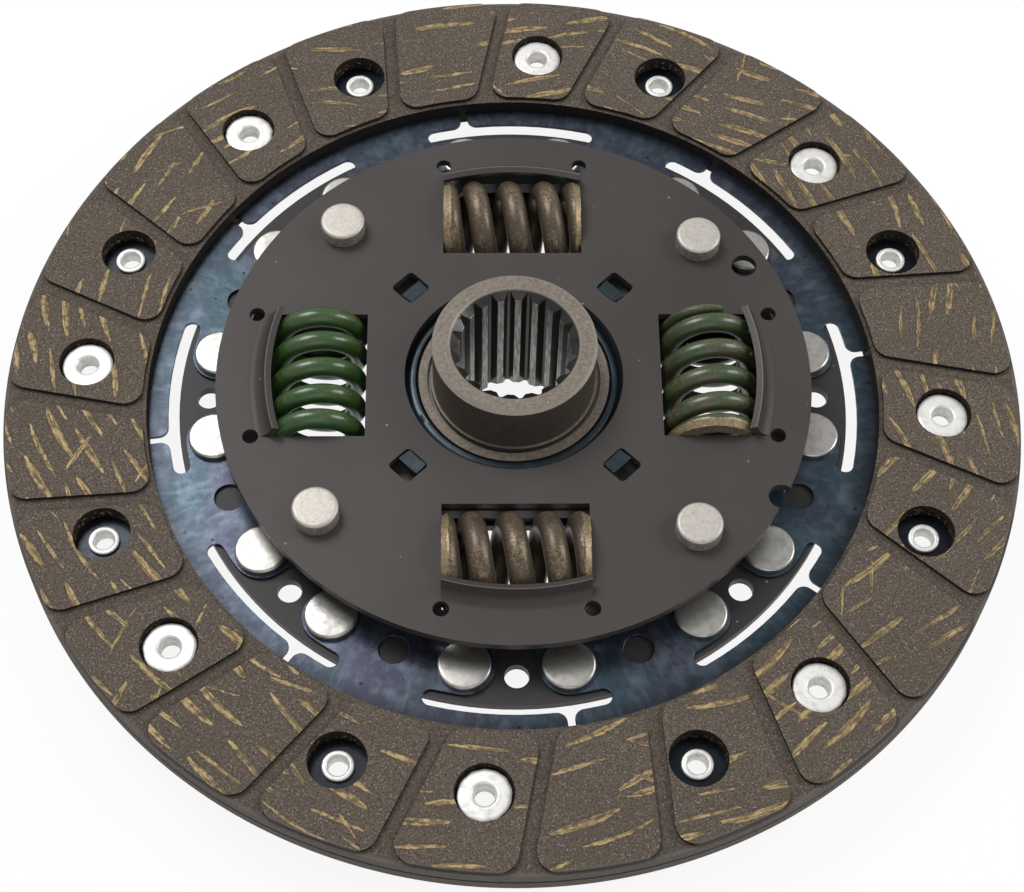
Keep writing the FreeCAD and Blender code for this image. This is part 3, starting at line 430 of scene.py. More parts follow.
class Graph:
    """A shader tree under construction, with short calls for the nodes this scene uses."""

    def __init__(self, tree: bpy.types.NodeTree) -> None:
        """Empty a tree and start on it."""
        self.tree = tree
        tree.nodes.clear()

    def add(self, kind: str, inputs: dict[Any, Any] | None = None, **settings: Any) -> bpy.types.Node:
        """Add a node.

        Args:
            kind: Blender's name for the node type.
            inputs: Socket name or number to a value to link or to set.
            **settings: Properties of the node.

        Returns:
            The node.
        """
        node = self.tree.nodes.new(kind)
        for name, setting in settings.items():
            setattr(node, name, setting)
        self.fill(node, inputs or {})
        return node

    def fill(self, node: bpy.types.Node, inputs: dict[Any, Any]) -> None:
        """Feed the inputs of a node.

        Args:
            node: The node.
            inputs: Socket name or number to a value to link or to set.
        """
        for key, source in inputs.items():
            target = node.inputs[key]
            if isinstance(source, Value):
                self.tree.links.new(source.socket, target)
            elif isinstance(source, tuple) and target.type == "RGBA":
                target.default_value = (*source, 1.0)
            else:
                target.default_value = source

    def result(self, node: bpy.types.Node, key: Any = 0) -> Value:
        """Give one output of a node."""
        return Value(self, node.outputs[key])

    def math(self, operation: str, first: Any, second: Any = 0.0, clamp: bool = False) -> Value:
        """Add a Math node and give its result."""
        inputs = {0: first, 1: second}
        return self.result(self.add("ShaderNodeMath", inputs, operation=operation, use_clamp=clamp))

    def moved(self, vector: Value, step: tuple[float, float, float]) -> Value:
        """Give a vector moved by a fixed step."""
        return self.result(self.add("ShaderNodeVectorMath", {0: vector, 1: step}, operation="ADD"))

    def length(self, x: Value, y: Value) -> Value:
        """Give the length of the vector (x, y)."""
        inputs = {0: self.combine(x, y)}
        return self.result(self.add("ShaderNodeVectorMath", inputs, operation="LENGTH"), "Value")

    def split(self, source: Value) -> tuple[Value, Value, Value]:
        """Give the three parts of a vector."""
        node = self.add("ShaderNodeSeparateXYZ", {0: source})
        return self.result(node, 0), self.result(node, 1), self.result(node, 2)

    def combine(self, x: Any, y: Any, z: Any = 0.0) -> Value:
        """Make a vector of three parts."""
        return self.result(self.add("ShaderNodeCombineXYZ", {0: x, 1: y, 2: z}))

    def mix(self, factor: Any, first: Any, second: Any) -> Value:
        """Mix two colours."""
        return self.result(self.add("ShaderNodeMix", {0: factor, 6: first, 7: second}, data_type="RGBA"), 2)

    def blend(self, factor: Any, first: Any, second: Any) -> Value:
        """Mix two numbers."""
        return self.result(self.add("ShaderNodeMix", {0: factor, 2: first, 3: second}, data_type="FLOAT"))

    def step(self, source: Value, low: Any, high: Any) -> Value:
        """Give 0 up to low, 1 from high on and a smooth change between; low may be the larger."""
        inputs = {"Value": source, "From Min": low, "From Max": high}
        return self.result(self.add("ShaderNodeMapRange", inputs, interpolation_type="SMOOTHSTEP"))

    def noise(self, vector: Value, scale: Any, detail: float = 2.0, distortion: float = 0.0) -> Value:
        """Give a noise value between about 0 and 1."""
        inputs = {"Vector": vector, "Scale": scale, "Detail": detail, "Distortion": distortion}
        return self.result(self.add("ShaderNodeTexNoise", inputs), "Fac")

    def chance(self, dimensions: str, **inputs: Value) -> bpy.types.Node:
        """Add a White Noise node, which gives random numbers from its inputs Vector or W."""
        return self.add("ShaderNodeTexWhiteNoise", inputs, noise_dimensions=dimensions)

    def place(self) -> Value:
        """Give the point of the surface, in metres from the disc's origin."""
        return self.result(self.add("ShaderNodeTexCoord"), "Object")

    def tilt(self) -> Value:
        """Give 1 where the surface is level, 0 on upright walls and shares between."""
        normal = self.result(self.add("ShaderNodeTexCoord"), "Normal")
        return self.math("ABSOLUTE", self.split(normal)[2])

    def attribute(self, name: str) -> Value:
        """Give a number kept on the mesh."""
        return self.result(self.add("ShaderNodeAttribute", attribute_name=name), "Fac")

    def bump(self, height: Value, distance: float) -> Value:
        """Give a normal that follows a height, where 1 stands for a distance in millimetres."""
        return self.result(self.add("ShaderNodeBump", {"Distance": distance * MM, "Height": height}))

    def group(self, tree: bpy.types.NodeTree, **inputs: Any) -> dict[str, Value]:
        """Place a node group, feed its inputs and give its outputs by name."""
        node = self.add("ShaderNodeGroup", inputs, node_tree=tree)
        return {socket.name: Value(self, socket) for socket in node.outputs}

    def close(self, **outputs: Value) -> bpy.types.NodeTree:
        """End a node group.

        Args:
            **outputs: Name and value of each number that it puts out.

        Returns:
            The group's tree.
        """
        for label in outputs:
            self.tree.interface.new_socket(name=label, in_out="OUTPUT", socket_type="NodeSocketFloat")
        self.add("NodeGroupOutput", outputs)
        return self.tree


def new_group(name: str, **inputs: float) -> tuple[Graph, dict[str, Value]]:
    """Start a node group that takes a vector and some numbers.

    Args:
        name: Name of the group.
        **inputs: Name and starting value of each number.

    Returns:
        The graph, and the values that come in, by name.
    """
    tree = bpy.data.node_groups.new(name, "ShaderNodeTree")
    tree.interface.new_socket(name="vector", in_out="INPUT", socket_type="NodeSocketVector")
    for label, start in inputs.items():
        socket = tree.interface.new_socket(name=label, in_out="INPUT", socket_type="NodeSocketFloat")
        socket.default_value = start
    graph = Graph(tree)
    node = graph.add("NodeGroupInput")
    return graph, {label: graph.result(node, label) for label in ("vector", *inputs)}


def shaded(colour: Colour, factor: float) -> Colour:
    """Give a colour lighter or darker by a factor."""
    red, green, blue = colour
    return red * factor, green * factor, blue * factor


class Effects:
    """The node groups that several finishes share, each built once."""

    def __init__(self) -> None:
        """Build the groups."""
        self.speckle = self._speckle()
        self.pads = self._pads()
        self.strokes = self._strokes()
        self.mottle = self._mottle()
        self.lathe = self._lathe()

    def specks(self, graph: Graph, where: Value, scale: float, cover: float, size: float) -> Value:
        """Place the small spots in a graph and give their mask."""
        return graph.group(self.speckle, vector=where, scale=scale, cover=cover, size=size)["mask"]

    def clouds(self, graph: Graph, where: Value, scale: float, low: float, high: float) -> Value:
        """Place the cloudy patches in a graph and give their mask."""
        return graph.group(self.mottle, vector=where, scale=scale, low=low, high=high)["mask"]

    @staticmethod
    def _speckle() -> bpy.types.NodeTree:
        """Make small spots, in a random share of the cells of a cell pattern.

        Returns:
            The group, which gives the mask of the spots.
        """
        graph, given = new_group("speckle", scale=1000.0, cover=0.2, size=0.3)
        cells = graph.add("ShaderNodeTexVoronoi", {"Vector": given["vector"], "Scale": given["scale"]})
        pick = graph.split(graph.result(cells, "Color"))[0]
        chosen = graph.math("LESS_THAN", pick, given["cover"])
        spot = graph.step(graph.result(cells, "Distance"), given["size"], given["size"] * 0.6)
        return graph.close(mask=chosen * spot)

    @staticmethod
    def _pads() -> bpy.types.NodeTree:
        """Number the pads, and tell which way the middle of a point's pad lies.

        The grooves are straight lines at a distance d from the axis. The one through a point at
        radius r and angle t runs in the direction t - asin(d / r). That angle, less the first
        groove's and in steps of one pad, is a whole number on each groove. Its whole part numbers
        the pads. The lead is the angle from a groove's direction to its pad's middle. The other
        facing is turned over, so its angle runs backwards from a shift.

        Returns:
            The group, which gives a pad's number and the angle of its middle.
        """
        graph, given = new_group(
            "pads", offset=0.0196, first=0.0716, step=0.2618, lead=0.233, count=24.0, sense=1.0, shift=0.0
        )
        x, y, _ = graph.split(given["vector"])
        angle = graph.math("ARCTAN2", y, x) * given["sense"] + given["shift"]
        foot = angle - graph.math("ARCSINE", given["offset"] / graph.length(x, y))
        whole = graph.math("FLOOR", (foot - given["first"]) / given["step"])
        middle = (whole + 0.5) * given["step"] + given["first"] + given["lead"]
        number = graph.math("FLOORED_MODULO", whole + 0.01, given["count"])
        return graph.close(number=number, middle=(middle - given["shift"]) * given["sense"])

    @staticmethod
    def _strokes() -> bpy.types.NodeTree:
        """Make flat bundles of fibre that lie side by side on each pad.

        The plane is turned so that u runs along the bundles and v across them. It is split into
        rows, and each row, moved along by a random share, into long cells. A cell holds one
        stroke with its own place, lean, bend, length and width. The stroke narrows to its two
        ends as 1 - (u / half length) squared, and its sides are ragged. The halo is the same
        stroke drawn wider.

        Returns:
            The group, which gives the masks of strokes and halo, and the ribs along the strokes.
        """
        graph, given = new_group(
            "strokes", angle=0.0, seed=0.0, long=0.015, wide=0.0036, reach=0.0052, width=0.0005,
            spread=0.4, cover=0.5,
        )
        spin = {"Vector": given["vector"], "Angle": given["angle"] * -1.0}
        turned = graph.result(graph.add("ShaderNodeVectorRotate", spin, rotation_type="Z_AXIS"))
        along, aside, _ = graph.split(turned)
        rows = aside / given["wide"]
        row = graph.math("FLOOR", rows)
        start = graph.result(graph.chance("2D", Vector=graph.combine(row, given["seed"])), "Value")
        columns = along / given["long"] + start
        column = graph.math("FLOOR", columns)
        cell = graph.chance("3D", Vector=graph.combine(row, column, given["seed"]))
        twist, size, slip = graph.split(graph.result(cell, "Color"))
        u = (columns - column - 0.5) * given["long"]
        v = (rows - row - 0.5) * given["wide"] - (slip - 0.5) * (given["wide"] * 0.4)
        shake = graph.noise(given["vector"], 1300.0) - 0.5
        bow = u * u * ((size - 0.5) * 30.0)
        line = u * ((twist - 0.5) * given["spread"]) + bow + shake * 0.0006
        across = graph.math("ABSOLUTE", v - line)
        part = u / (given["reach"] * (0.55 + size * 0.65))
        narrow = graph.math("SUBTRACT", 1.0, part * part, clamp=True)
        thick = given["width"] * (0.5 + slip) * graph.math("POWER", narrow, 0.55)
        chosen = graph.math("LESS_THAN", graph.result(cell, "Value"), given["cover"])
        shown = chosen * graph.step(narrow, 0.0, 0.12)
        inside = graph.step(across, thick + 0.00004, thick * 0.55)
        around = graph.step(across, thick + 0.00034, thick * 0.8)
        ribs = graph.noise(graph.combine(along * 240.0, (v - line) * 3400.0, slip), 1.0)
        return graph.close(mask=inside * shown, halo=around * shown, rib=graph.step(ribs, 0.36, 0.64))

    @staticmethod
    def _mottle() -> bpy.types.NodeTree:
        """Make cloudy patches: noise, cut between a low and a high level.

        Returns:
            The group, which gives the mask of the patches.
        """
        graph, given = new_group("mottle", scale=100.0, low=0.4, high=0.6)
        cloud = graph.noise(given["vector"], given["scale"], 5.0)
        return graph.close(mask=graph.step(cloud, given["low"], given["high"]))

    @staticmethod
    def _lathe() -> bpy.types.NodeTree:
        """Make turning marks: a fine wave of the distance from an axis through a given point.

        Returns:
            The group, which gives the height of the marks.
        """
        graph, given = new_group("lathe", centre_x=0.0, centre_y=0.0, marks=2500.0)
        x, y, _ = graph.split(given["vector"])
        radius = graph.length(x - given["centre_x"], y - given["centre_y"])
        return graph.close(height=graph.noise(graph.combine(radius * given["marks"], 0.0), 1.0, 3.0))


EFFECTS = Effects()


# Finishes


@dataclass(frozen=True)
class Finish:
    """A plain finish: one colour, how rough it is and how metallic."""

    name: str
    colour: Colour
    roughness: float
    metallic: float = 0.0
    coat: float = 0.0
    specular: float = 0.5

    def material(self) -> bpy.types.Material:
        """Build the material, once.

        Returns:
            The material, or the one built before.
        """
        label = "finish_" + self.name
        known = bpy.data.materials.get(label)
        if known is not None:
            return known
        made = bpy.data.materials.new(label)
        made.use_nodes = True
        graph = Graph(made.node_tree)
        shader = graph.add("ShaderNodeBsdfPrincipled", {
            "Base Color": self.colour,
            "Roughness": self.roughness,
            "Metallic": self.metallic,
            "Coat Weight": self.coat,
            "Coat Roughness": 0.12,
            "Specular IOR Level": self.specular,
        })
        graph.add("ShaderNodeOutputMaterial", {0: graph.result(shader)})
        graph.fill(shader, self.paint(graph))
        made.diffuse_color = (*self.colour, 1.0)
        return made

    def paint(self, graph: Graph) -> dict[str, Value]:
        """Give what varies over the surface, by the shader's socket; here nothing does."""
        return {}

    def shine(self, graph: Graph, share: Value, duller: float, sharper: float = 0.06) -> Value:
        """Vary the roughness about its own value, from sharper to duller by a share."""
        return graph.blend(share, self.roughness - sharper, self.roughness + duller)


@dataclass(frozen=True)
class FrictionFinish(Finish):
    """Moulded friction composite with brass fibres on its pads, and painted shade in the grooves, on the
    walls below the pads and in the rivet wells.

    A span says where a change begins and where it is complete, in metres: below the pads'
    faces for the two depths, and from the shaft axis for the others.
    """

    fibre: Colour = (0.31, 0.225, 0.110)
    rim: Colour = (0.115, 0.105, 0.098)
    painted_wall_shade: Colour = (0.010, 0.008, 0.007)
    speck: Colour = (0.30, 0.275, 0.245)
    pit: Colour = (0.022, 0.018, 0.014)
    pad_height: float = 0.01715
    groove_depth: Span = (0.0003, 0.0007)
    well_depth: Span = (0.0010, 0.0016)
    wells_from: Span = (0.0735, 0.0745)
    wells_to: Span = (0.0975, 0.0965)
    rim_from: Span = (0.0990, 0.0996)
    walls_to: Span = (0.09945, 0.0991)
    sense: float = 1.0
    shift: float = 0.0

    def ground(self, graph: Graph, where: Value, coarse: Value, grain: Value) -> Value:
        """Lay the composite's grain, clouds, specks and pits over one another.

        Args:
            graph: The material's graph.
            where: The point of the surface.
            coarse: Noise for the broad shades.
            grain: Noise for the fine grain.

        Returns:
            The colour.
        """
        body = graph.mix(graph.step(coarse, 0.33, 0.67), shaded(self.colour, 0.5), shaded(self.colour, 1.6))
        body = graph.mix(graph.step(grain, 0.42, 0.6) * 0.45, body, shaded(self.colour, 1.5))
        clouds = EFFECTS.clouds(graph, where, 60.0, 0.3, 0.7)
        body = graph.mix(clouds * 0.25, body, shaded(self.colour, 0.8))
        body = graph.mix(EFFECTS.specks(graph, where, 3000.0, 0.15, 0.42) * 0.8, body, self.speck)
        return graph.mix(EFFECTS.specks(graph, where, 1300.0, 0.06, 0.30) * 0.75, body, self.pit)

    def fibres(self, graph: Graph, where: Value) -> tuple[Value, Value, Value]:
        """Lay long, crossing and short strokes over the pads, each pad with its own mood.

        Args:
            graph: The material's graph.
            where: The point of the surface.

        Returns:
            The masks of the fibres, of the dark halo round them and of the ribs along them.
        """
        pad = graph.group(EFFECTS.pads, vector=where, sense=self.sense, shift=self.shift)
        number = pad["number"]
        one, two, three = graph.split(graph.result(graph.chance("1D", W=number), "Color"))
        tangent = pad["middle"] + math.pi / 2
        main_way = tangent + (one - 0.5) * 0.7
        cross_way = tangent + (two - 0.5) * 2.0
        crowd = graph.blend(three, 0.62, 0.95)
        first = graph.group(
            EFFECTS.strokes, vector=where, angle=main_way, seed=number,
            long=0.0155, wide=0.0037, reach=0.0062, width=0.00070, spread=0.32, cover=crowd,
        )
        second = graph.group(
            EFFECTS.strokes, vector=where, angle=cross_way, seed=number + 31.0,
            long=0.014, wide=0.0070, reach=0.0045, width=0.00055, spread=0.7, cover=0.16,
        )
        third = graph.group(
            EFFECTS.strokes, vector=where, angle=main_way, seed=number + 67.0,
            long=0.0075, wide=0.0036, reach=0.0024, width=0.00042, spread=0.9, cover=0.24,
        )
        mask = graph.math("MAXIMUM", first["mask"], second["mask"])
        mask = graph.math("MAXIMUM", mask, third["mask"] * 0.5)
        halo = graph.math("MAXIMUM", first["halo"], second["halo"])
        rib = graph.math("MAXIMUM", first["rib"] * first["mask"], second["rib"] * second["mask"])
        return mask, halo, rib

    def paint(self, graph: Graph) -> dict[str, Value]:
        """Lay the fibres over the ground, and paint shade in the grooves, on the walls and in the rivet
        wells.

        Args:
            graph: The material's graph.

        Returns:
            What varies over the surface, by the shader's socket.
        """
        where = graph.place()
        x, y, height = graph.split(where)
        radius = graph.length(x, y)
        depth = (height - self.pad_height) * -self.sense
        wall = graph.step(graph.tilt(), 0.85, 0.35)
        groove = graph.step(depth, *self.groove_depth)
        well = graph.step(depth, *self.well_depth) * graph.step(radius, *self.wells_to)
        well = well * graph.step(radius, *self.wells_from)
        grain = graph.noise(where, 6500.0)
        coarse = graph.noise(where, 2500.0, 4.0)
        body = self.ground(graph, where, coarse, grain)
        # Painted shade: the grooves are darkened a little.
        body = graph.mix(groove * 0.22, body, shaded(self.colour, 0.5))

        mask, halo, rib = self.fibres(graph, where)
        upper = 1.0 - groove
        frayed = graph.step(graph.noise(where, 750.0, 3.0), 0.33, 0.55)
        mask = mask * upper * graph.blend(frayed, 0.25, 1.0)
        body = graph.mix(halo * upper * 0.42, body, shaded(self.colour, 0.45))
        tint = graph.mix(rib, shaded(self.fibre, 0.40), shaded(self.fibre, 1.4))
        tint = graph.mix(graph.step(coarse, 0.5, 0.7) * 0.35, tint, self.colour)
        body = graph.mix(mask * 0.92, body, tint)

        body = graph.mix(graph.step(radius, *self.rim_from) * 0.6, body, self.rim)
        # Painted shade: upright walls and the rivet wells are darkened towards a near-black colour.
        shade = wall * graph.step(radius, *self.walls_to) * 0.86
        threads = graph.noise(graph.combine(x, y, height * 0.8), 1500.0, 4.0)
        tuft = graph.step(threads, 0.55, 0.66) * (well * 0.8)
        body = graph.mix(graph.math("MAXIMUM", shade, well * 0.9), body, self.painted_wall_shade)
        body = graph.mix(tuft * wall, body, shaded(self.fibre, 0.8))
        return {
            "Base Color": body,
            "Metallic": mask * 0.25,
            "Roughness": graph.blend(mask, graph.blend(grain, 0.66, 0.92), 0.5),
            "Normal": graph.bump(graph.noise(where, 3800.0, 3.0), 0.09),
        }


@dataclass(frozen=True)
class BluedFinish(Finish):
    """Heat-blued spring steel: navy to slate, with teal and violet clouds and small dark spots.

    The two spans are radii in metres between which the facings' shadow grows.
    """

    teal: Colour = (0.028, 0.062, 0.078)
    violet: Colour = (0.040, 0.034, 0.062)
    pale: Colour = (0.115, 0.142, 0.180)
    spot: Colour = (0.006, 0.006, 0.007)
    rust: Colour = (0.085, 0.040, 0.022)
    shadow: Colour = (0.004, 0.005, 0.007)
    under_facing: float = 0.0
    soft_shadow: Span = (0.0670, 0.0722)
    hard_shadow: Span = (0.0722, 0.0728)

    def paint(self, graph: Graph) -> dict[str, Value]:
        """Lay the clouds of temper colour over one another, and darken what the facings shade.

        Args:
            graph: The material's graph.

        Returns:
            What varies over the surface, by the shader's socket.
        """
        where = graph.place()
        x, y, _ = graph.split(where)
        radius = graph.length(x, y)
        body = graph.mix(EFFECTS.clouds(graph, where, 30.0, 0.38, 0.62) * 0.7, self.colour, self.teal)
        mid = EFFECTS.clouds(graph, graph.moved(where, (0.3, 0.1, 0.0)), 75.0, 0.42, 0.66)
        body = graph.mix(mid * 0.55, body, self.violet)
        fine = EFFECTS.clouds(graph, graph.moved(where, (0.7, 0.4, 0.0)), 210.0, 0.48, 0.74)
        body = graph.mix(fine * 0.55, body, self.pale)
        smears = graph.noise(graph.combine(radius * 3.0, graph.math("ARCTAN2", y, x)), 28.0, 5.0, 1.5)
        body = graph.mix(graph.step(smears, 0.50, 0.72) * 0.36, body, self.pale)
        bloom = graph.noise(where, 640.0, 4.0)
        body = graph.mix(graph.step(bloom, 0.45, 0.7) * 0.24, body, self.pale)
        body = graph.mix(EFFECTS.specks(graph, where, 380.0, 0.14, 0.17) * 0.85, body, self.spot)
        rust = EFFECTS.specks(graph, graph.moved(where, (0.21, 0.13, 0.0)), 140.0, 0.05, 0.10)
        body = graph.mix(rust * 0.7, body, self.rust)
        dim = graph.step(radius, *self.soft_shadow) * 0.6 + graph.step(radius, *self.hard_shadow) * 0.25
        body = graph.mix(dim * self.under_facing, body, self.shadow)
        streak = graph.noise(where, 900.0, 3.0)
        return {
            "Base Color": body,
            "Roughness": self.shine(graph, streak, 0.1),
            "Normal": graph.bump(streak, 0.012),
        }


@dataclass(frozen=True)
class PhosphateFinish(Finish):
    """Dark satin conversion coat on pressed steel, with a few pale specks, and lighter top edges on the lips:
    bare metal at the cut edge, and partly a painted highlight.

    The span is the height in metres over which the lips' edges turn bright.
    """

    speck: Colour = (0.30, 0.28, 0.26)
    rubbed: Colour = (0.42, 0.39, 0.36)
    burr_and_highlight: float = 0.0
    lip_edge: Span = (0.02500, 0.02510)

    def paint(self, graph: Graph) -> dict[str, Value]:
        """Add faint clouds, fine grain, specks and the lighter upper edges of the lips, which are bare metal
        at the cut edge and partly a painted highlight.

        Args:
            graph: The material's graph.

        Returns:
            What varies over the surface, by the shader's socket.
        """
        where = graph.place()
        clouds = EFFECTS.clouds(graph, where, 35.0, 0.3, 0.7)
        body = graph.mix(clouds, shaded(self.colour, 0.9), shaded(self.colour, 1.14))
        body = graph.mix(EFFECTS.specks(graph, where, 650.0, 0.02, 0.16) * 0.8, body, self.speck)
        # The lips' top edges turn lighter: bare metal at the cut edge, and partly a painted highlight.
        edge = graph.step(graph.split(where)[2], *self.lip_edge)
        body = graph.mix(edge * self.burr_and_highlight, body, self.rubbed)
        grain = graph.noise(where, 3200.0)
        return {
            "Base Color": body,
            "Roughness": self.shine(graph, grain, 0.08),
            "Normal": graph.bump(grain, 0.012),
        }


@dataclass(frozen=True)
class HubFinish(Finish):
    """Brown-grey coat on the hub, with broached lands and darker flanks in the bore.

    The two spans are radii in metres at which the bore and the lands begin.
    """

    painted_barrel_shade: Colour = (0.022, 0.018, 0.013)
    land: Colour = (0.30, 0.29, 0.27)
    flank: Colour = (0.05, 0.048, 0.046)
    speck: Colour = (0.42, 0.39, 0.34)
    easing: Colour = (0.34, 0.31, 0.27)
    bore_radius: Span = (0.01265, 0.0122)
    land_radius: Span = (0.01080, 0.01073)

    def paint(self, graph: Graph) -> dict[str, Value]:
        """Colour by the slope of the face and the distance from the shaft axis, with painted shade on the
        upright faces.

        Args:
            graph: The material's graph.

        Returns:
            What varies over the surface, by the shader's socket.
        """
        where = graph.place()
        x, y, z = graph.split(where)
        radius = graph.length(x, y)
        coarse = graph.noise(where, 1500.0, 4.0)
        tilt = graph.tilt()
        body = graph.mix(graph.step(coarse, 0.3, 0.7), shaded(self.colour, 0.78), shaded(self.colour, 1.25))
        body = graph.mix(EFFECTS.specks(graph, where, 1500.0, 0.12, 0.26) * 0.6, body, self.speck)
        # Painted shade: the upright faces, the hub's outer side among them, are darkened towards a near-black
        # brown.
        body = graph.mix(graph.step(tilt, 0.35, 0.1) * 0.72, body, self.painted_barrel_shade)
        easing = graph.step(tilt, 0.97, 0.85) * graph.step(tilt, 0.12, 0.3)
        body = graph.mix(easing * 0.55, body, self.easing)
        inside = graph.step(radius, *self.bore_radius)
        on_land = graph.step(radius, *self.land_radius)
        streaks = graph.noise(graph.combine(x * 9.0, y * 9.0, z), 380.0, 4.0)
        land = graph.mix(graph.step(streaks, 0.35, 0.65), shaded(self.land, 0.5), shaded(self.land, 1.2))
        outer_shine = graph.blend(coarse, 0.38, 0.6)
        return {
            "Base Color": graph.mix(inside, body, graph.mix(on_land, self.flank, land)),
            "Roughness": graph.blend(inside, outer_shine, graph.blend(on_land, 0.3, 0.42)),
            "Metallic": graph.blend(inside, self.metallic, 0.85),
            "Normal": graph.bump(coarse, 0.03),
        }


@dataclass(frozen=True)
class SpringFinish(Finish):
    """Paint or bronze coat on spring wire: wear and painted glints on the outside, and bare metal where it is
    ground.
    """

    wear_and_glint: Colour = (0.42, 0.28, 0.12)
    ground: Colour = (0.30, 0.225, 0.135)
    wear: float = 0.5
    painted_glint: float = 0.4
    stain: Colour = (0.060, 0.045, 0.028)
    stained: float = 0.0

    def paint(self, graph: Graph) -> dict[str, Value]:
        """Show the wear and the painted glints by how far out a point of the wire lies, and the grinding as
        it was cut.

        Args:
            graph: The material's graph.

        Returns:
            What varies over the surface, by the shader's socket.
        """
        where = graph.place()
        crest = graph.attribute("crest")
        fine = graph.noise(where, 2100.0, 4.0)
        broad = graph.noise(where, 160.0, 3.0)
        body = graph.mix(fine, shaded(self.colour, 0.7), shaded(self.colour, 1.3))
        body = graph.mix(graph.step(broad, 0.42, 0.62) * self.stained, body, self.stain)
        rubbed = graph.step(crest, 0.55, 1.0) * graph.step(broad, 0.35, 0.65)
        body = graph.mix(rubbed * graph.step(fine, 0.45, 0.62) * self.wear, body, self.wear_and_glint)
        # Painted glints: small light specks on the outside of the wire.
        painted_glints = EFFECTS.specks(graph, where, 2600.0, 0.22, 0.34) * graph.step(crest, 0.1, 0.7)
        body = graph.mix(painted_glints * self.painted_glint, body, self.wear_and_glint)
        bare = graph.step(graph.attribute("ground"), 0.25, 0.6)
        metal = graph.mix(graph.step(fine, 0.3, 0.7), shaded(self.ground, 0.6), shaded(self.ground, 1.15))
        return {
            "Base Color": graph.mix(bare, body, metal),
            "Metallic": graph.blend(bare, self.metallic, 0.6),
            "Roughness": graph.blend(bare, self.shine(graph, fine, 0.12, 0.05), 0.45),
            "Normal": graph.bump(fine, 0.03),
        }


@dataclass(frozen=True)
class RivetFinish(Finish):
    """Soft plated metal, scuffed and slightly pitted."""

    scuff: Colour = (0.35, 0.34, 0.32)
    wave: float = 0.02

    def paint(self, graph: Graph) -> dict[str, Value]:
        """Scuff the colour and the shine.

        Args:
            graph: The material's graph.

        Returns:
            What varies over the surface, by the shader's socket.
        """
        where = graph.place()
        coarse = graph.noise(where, 620.0, 4.0)
        fine = graph.noise(where, 2600.0, 3.0)
        body = graph.mix(graph.step(coarse, 0.40, 0.75), self.colour, self.scuff)
        marks = EFFECTS.specks(graph, where, 1500.0, 0.10, 0.26)
        return {
            "Base Color": graph.mix(marks * 0.55, body, shaded(self.scuff, 0.35)),
            "Roughness": self.shine(graph, coarse, 0.16),
            "Normal": graph.bump(coarse + fine * 0.4, self.wave),
        }


@dataclass(frozen=True)
class TurnedFinish(Finish):
    """Turned light steel with rings and small pits about the piece's own axis."""

    centre: tuple[float, float] = (0.0, 0.0)
    pit: Colour = (0.20, 0.18, 0.155)
    darker_sides: Colour = (0.12, 0.105, 0.085)

    def paint(self, graph: Graph) -> dict[str, Value]:
        """Lay rings and pits over the end face, and darker patches on the upright side.

        Args:
            graph: The material's graph.

        Returns:
            What varies over the surface, by the shader's socket.
        """
        where = graph.place()
        x, y = (MM * part for part in self.centre)
        rings = graph.group(EFFECTS.lathe, vector=where, centre_x=x, centre_y=y, marks=3200.0)["height"]
        clouds = graph.noise(where, 1400.0, 4.0)
        body = graph.mix(graph.step(clouds, 0.3, 0.7), shaded(self.colour, 0.90), shaded(self.colour, 1.06))
        body = graph.mix(graph.step(rings, 0.55, 0.7) * 0.3, body, shaded(self.colour, 0.55))
        body = graph.mix(EFFECTS.specks(graph, where, 1300.0, 0.2, 0.3) * 0.5, body, self.pit)
        # The upright side is darker in patches.
        darker_sides = graph.step(graph.tilt(), 0.7, 0.3) * graph.step(clouds, 0.35, 0.6)
        return {
            "Base Color": graph.mix(darker_sides * 0.55, body, self.darker_sides),
            "Normal": graph.bump(rings + clouds, 0.018),
        }


FRICTION = (0.080, 0.0645, 0.0508)
FRONT_FRICTION = FrictionFinish("friction_front", FRICTION, 0.8, specular=0.18)
REAR_FRICTION = FrictionFinish(
    "friction_rear", FRICTION, 0.8, specular=0.18, pad_height=0.00945, sense=-1.0, shift=math.radians(18.4)
)
BLUED_PLATE = BluedFinish("blued_plate", (0.036, 0.042, 0.062), 0.27, 0.7, under_facing=1.0)
BLUED_WASHER = BluedFinish(
    "blued_washer", (0.022, 0.030, 0.036), 0.3, 0.7,
    teal=(0.022, 0.040, 0.046), violet=(0.022, 0.022, 0.030), pale=(0.040, 0.058, 0.068),
)
COVER_COAT = PhosphateFinish("cover_coat", (0.0385, 0.0325, 0.0300), 0.46, specular=0.32, burr_and_highlight=0.3)
# The drive plate's coat is darker than the cover's: partly its own tone, and partly painted shade for where
# it lies under the cushion plate and the facings.
DRIVE_COAT_AND_SHADE = PhosphateFinish("drive_coat_and_shade", (0.020, 0.018, 0.0175), 0.44, specular=0.32)
HUB_COAT = HubFinish("hub_coat", (0.155, 0.130, 0.105), 0.45, 0.3)
PLAIN_RING = Finish("moulded_ring", (0.05, 0.046, 0.042), 0.7)
FLANGE_COAT = PhosphateFinish("flange_coat", (0.05, 0.048, 0.046), 0.45)
BRONZE_SPRING = SpringFinish(
    "bronze_spring", (0.085, 0.064, 0.044), 0.36, 0.4, wear_and_glint=(0.42, 0.31, 0.17), wear=0.4, painted_glint=0.55
)
GREEN_SPRING = SpringFinish(
    "green_spring", (0.019, 0.064, 0.012), 0.28, 0.0, coat=0.3, wear_and_glint=(0.11, 0.12, 0.04), wear=0.35,
    painted_glint=0.2, stain=(0.040, 0.058, 0.016), stained=0.5,
)
DULL_GREEN_SPRING = SpringFinish(
    "dull_green_spring", (0.027, 0.054, 0.016), 0.32, 0.0, coat=0.3, wear_and_glint=(0.15, 0.13, 0.07), wear=0.5,
    painted_glint=0.3, stained=0.8,
)
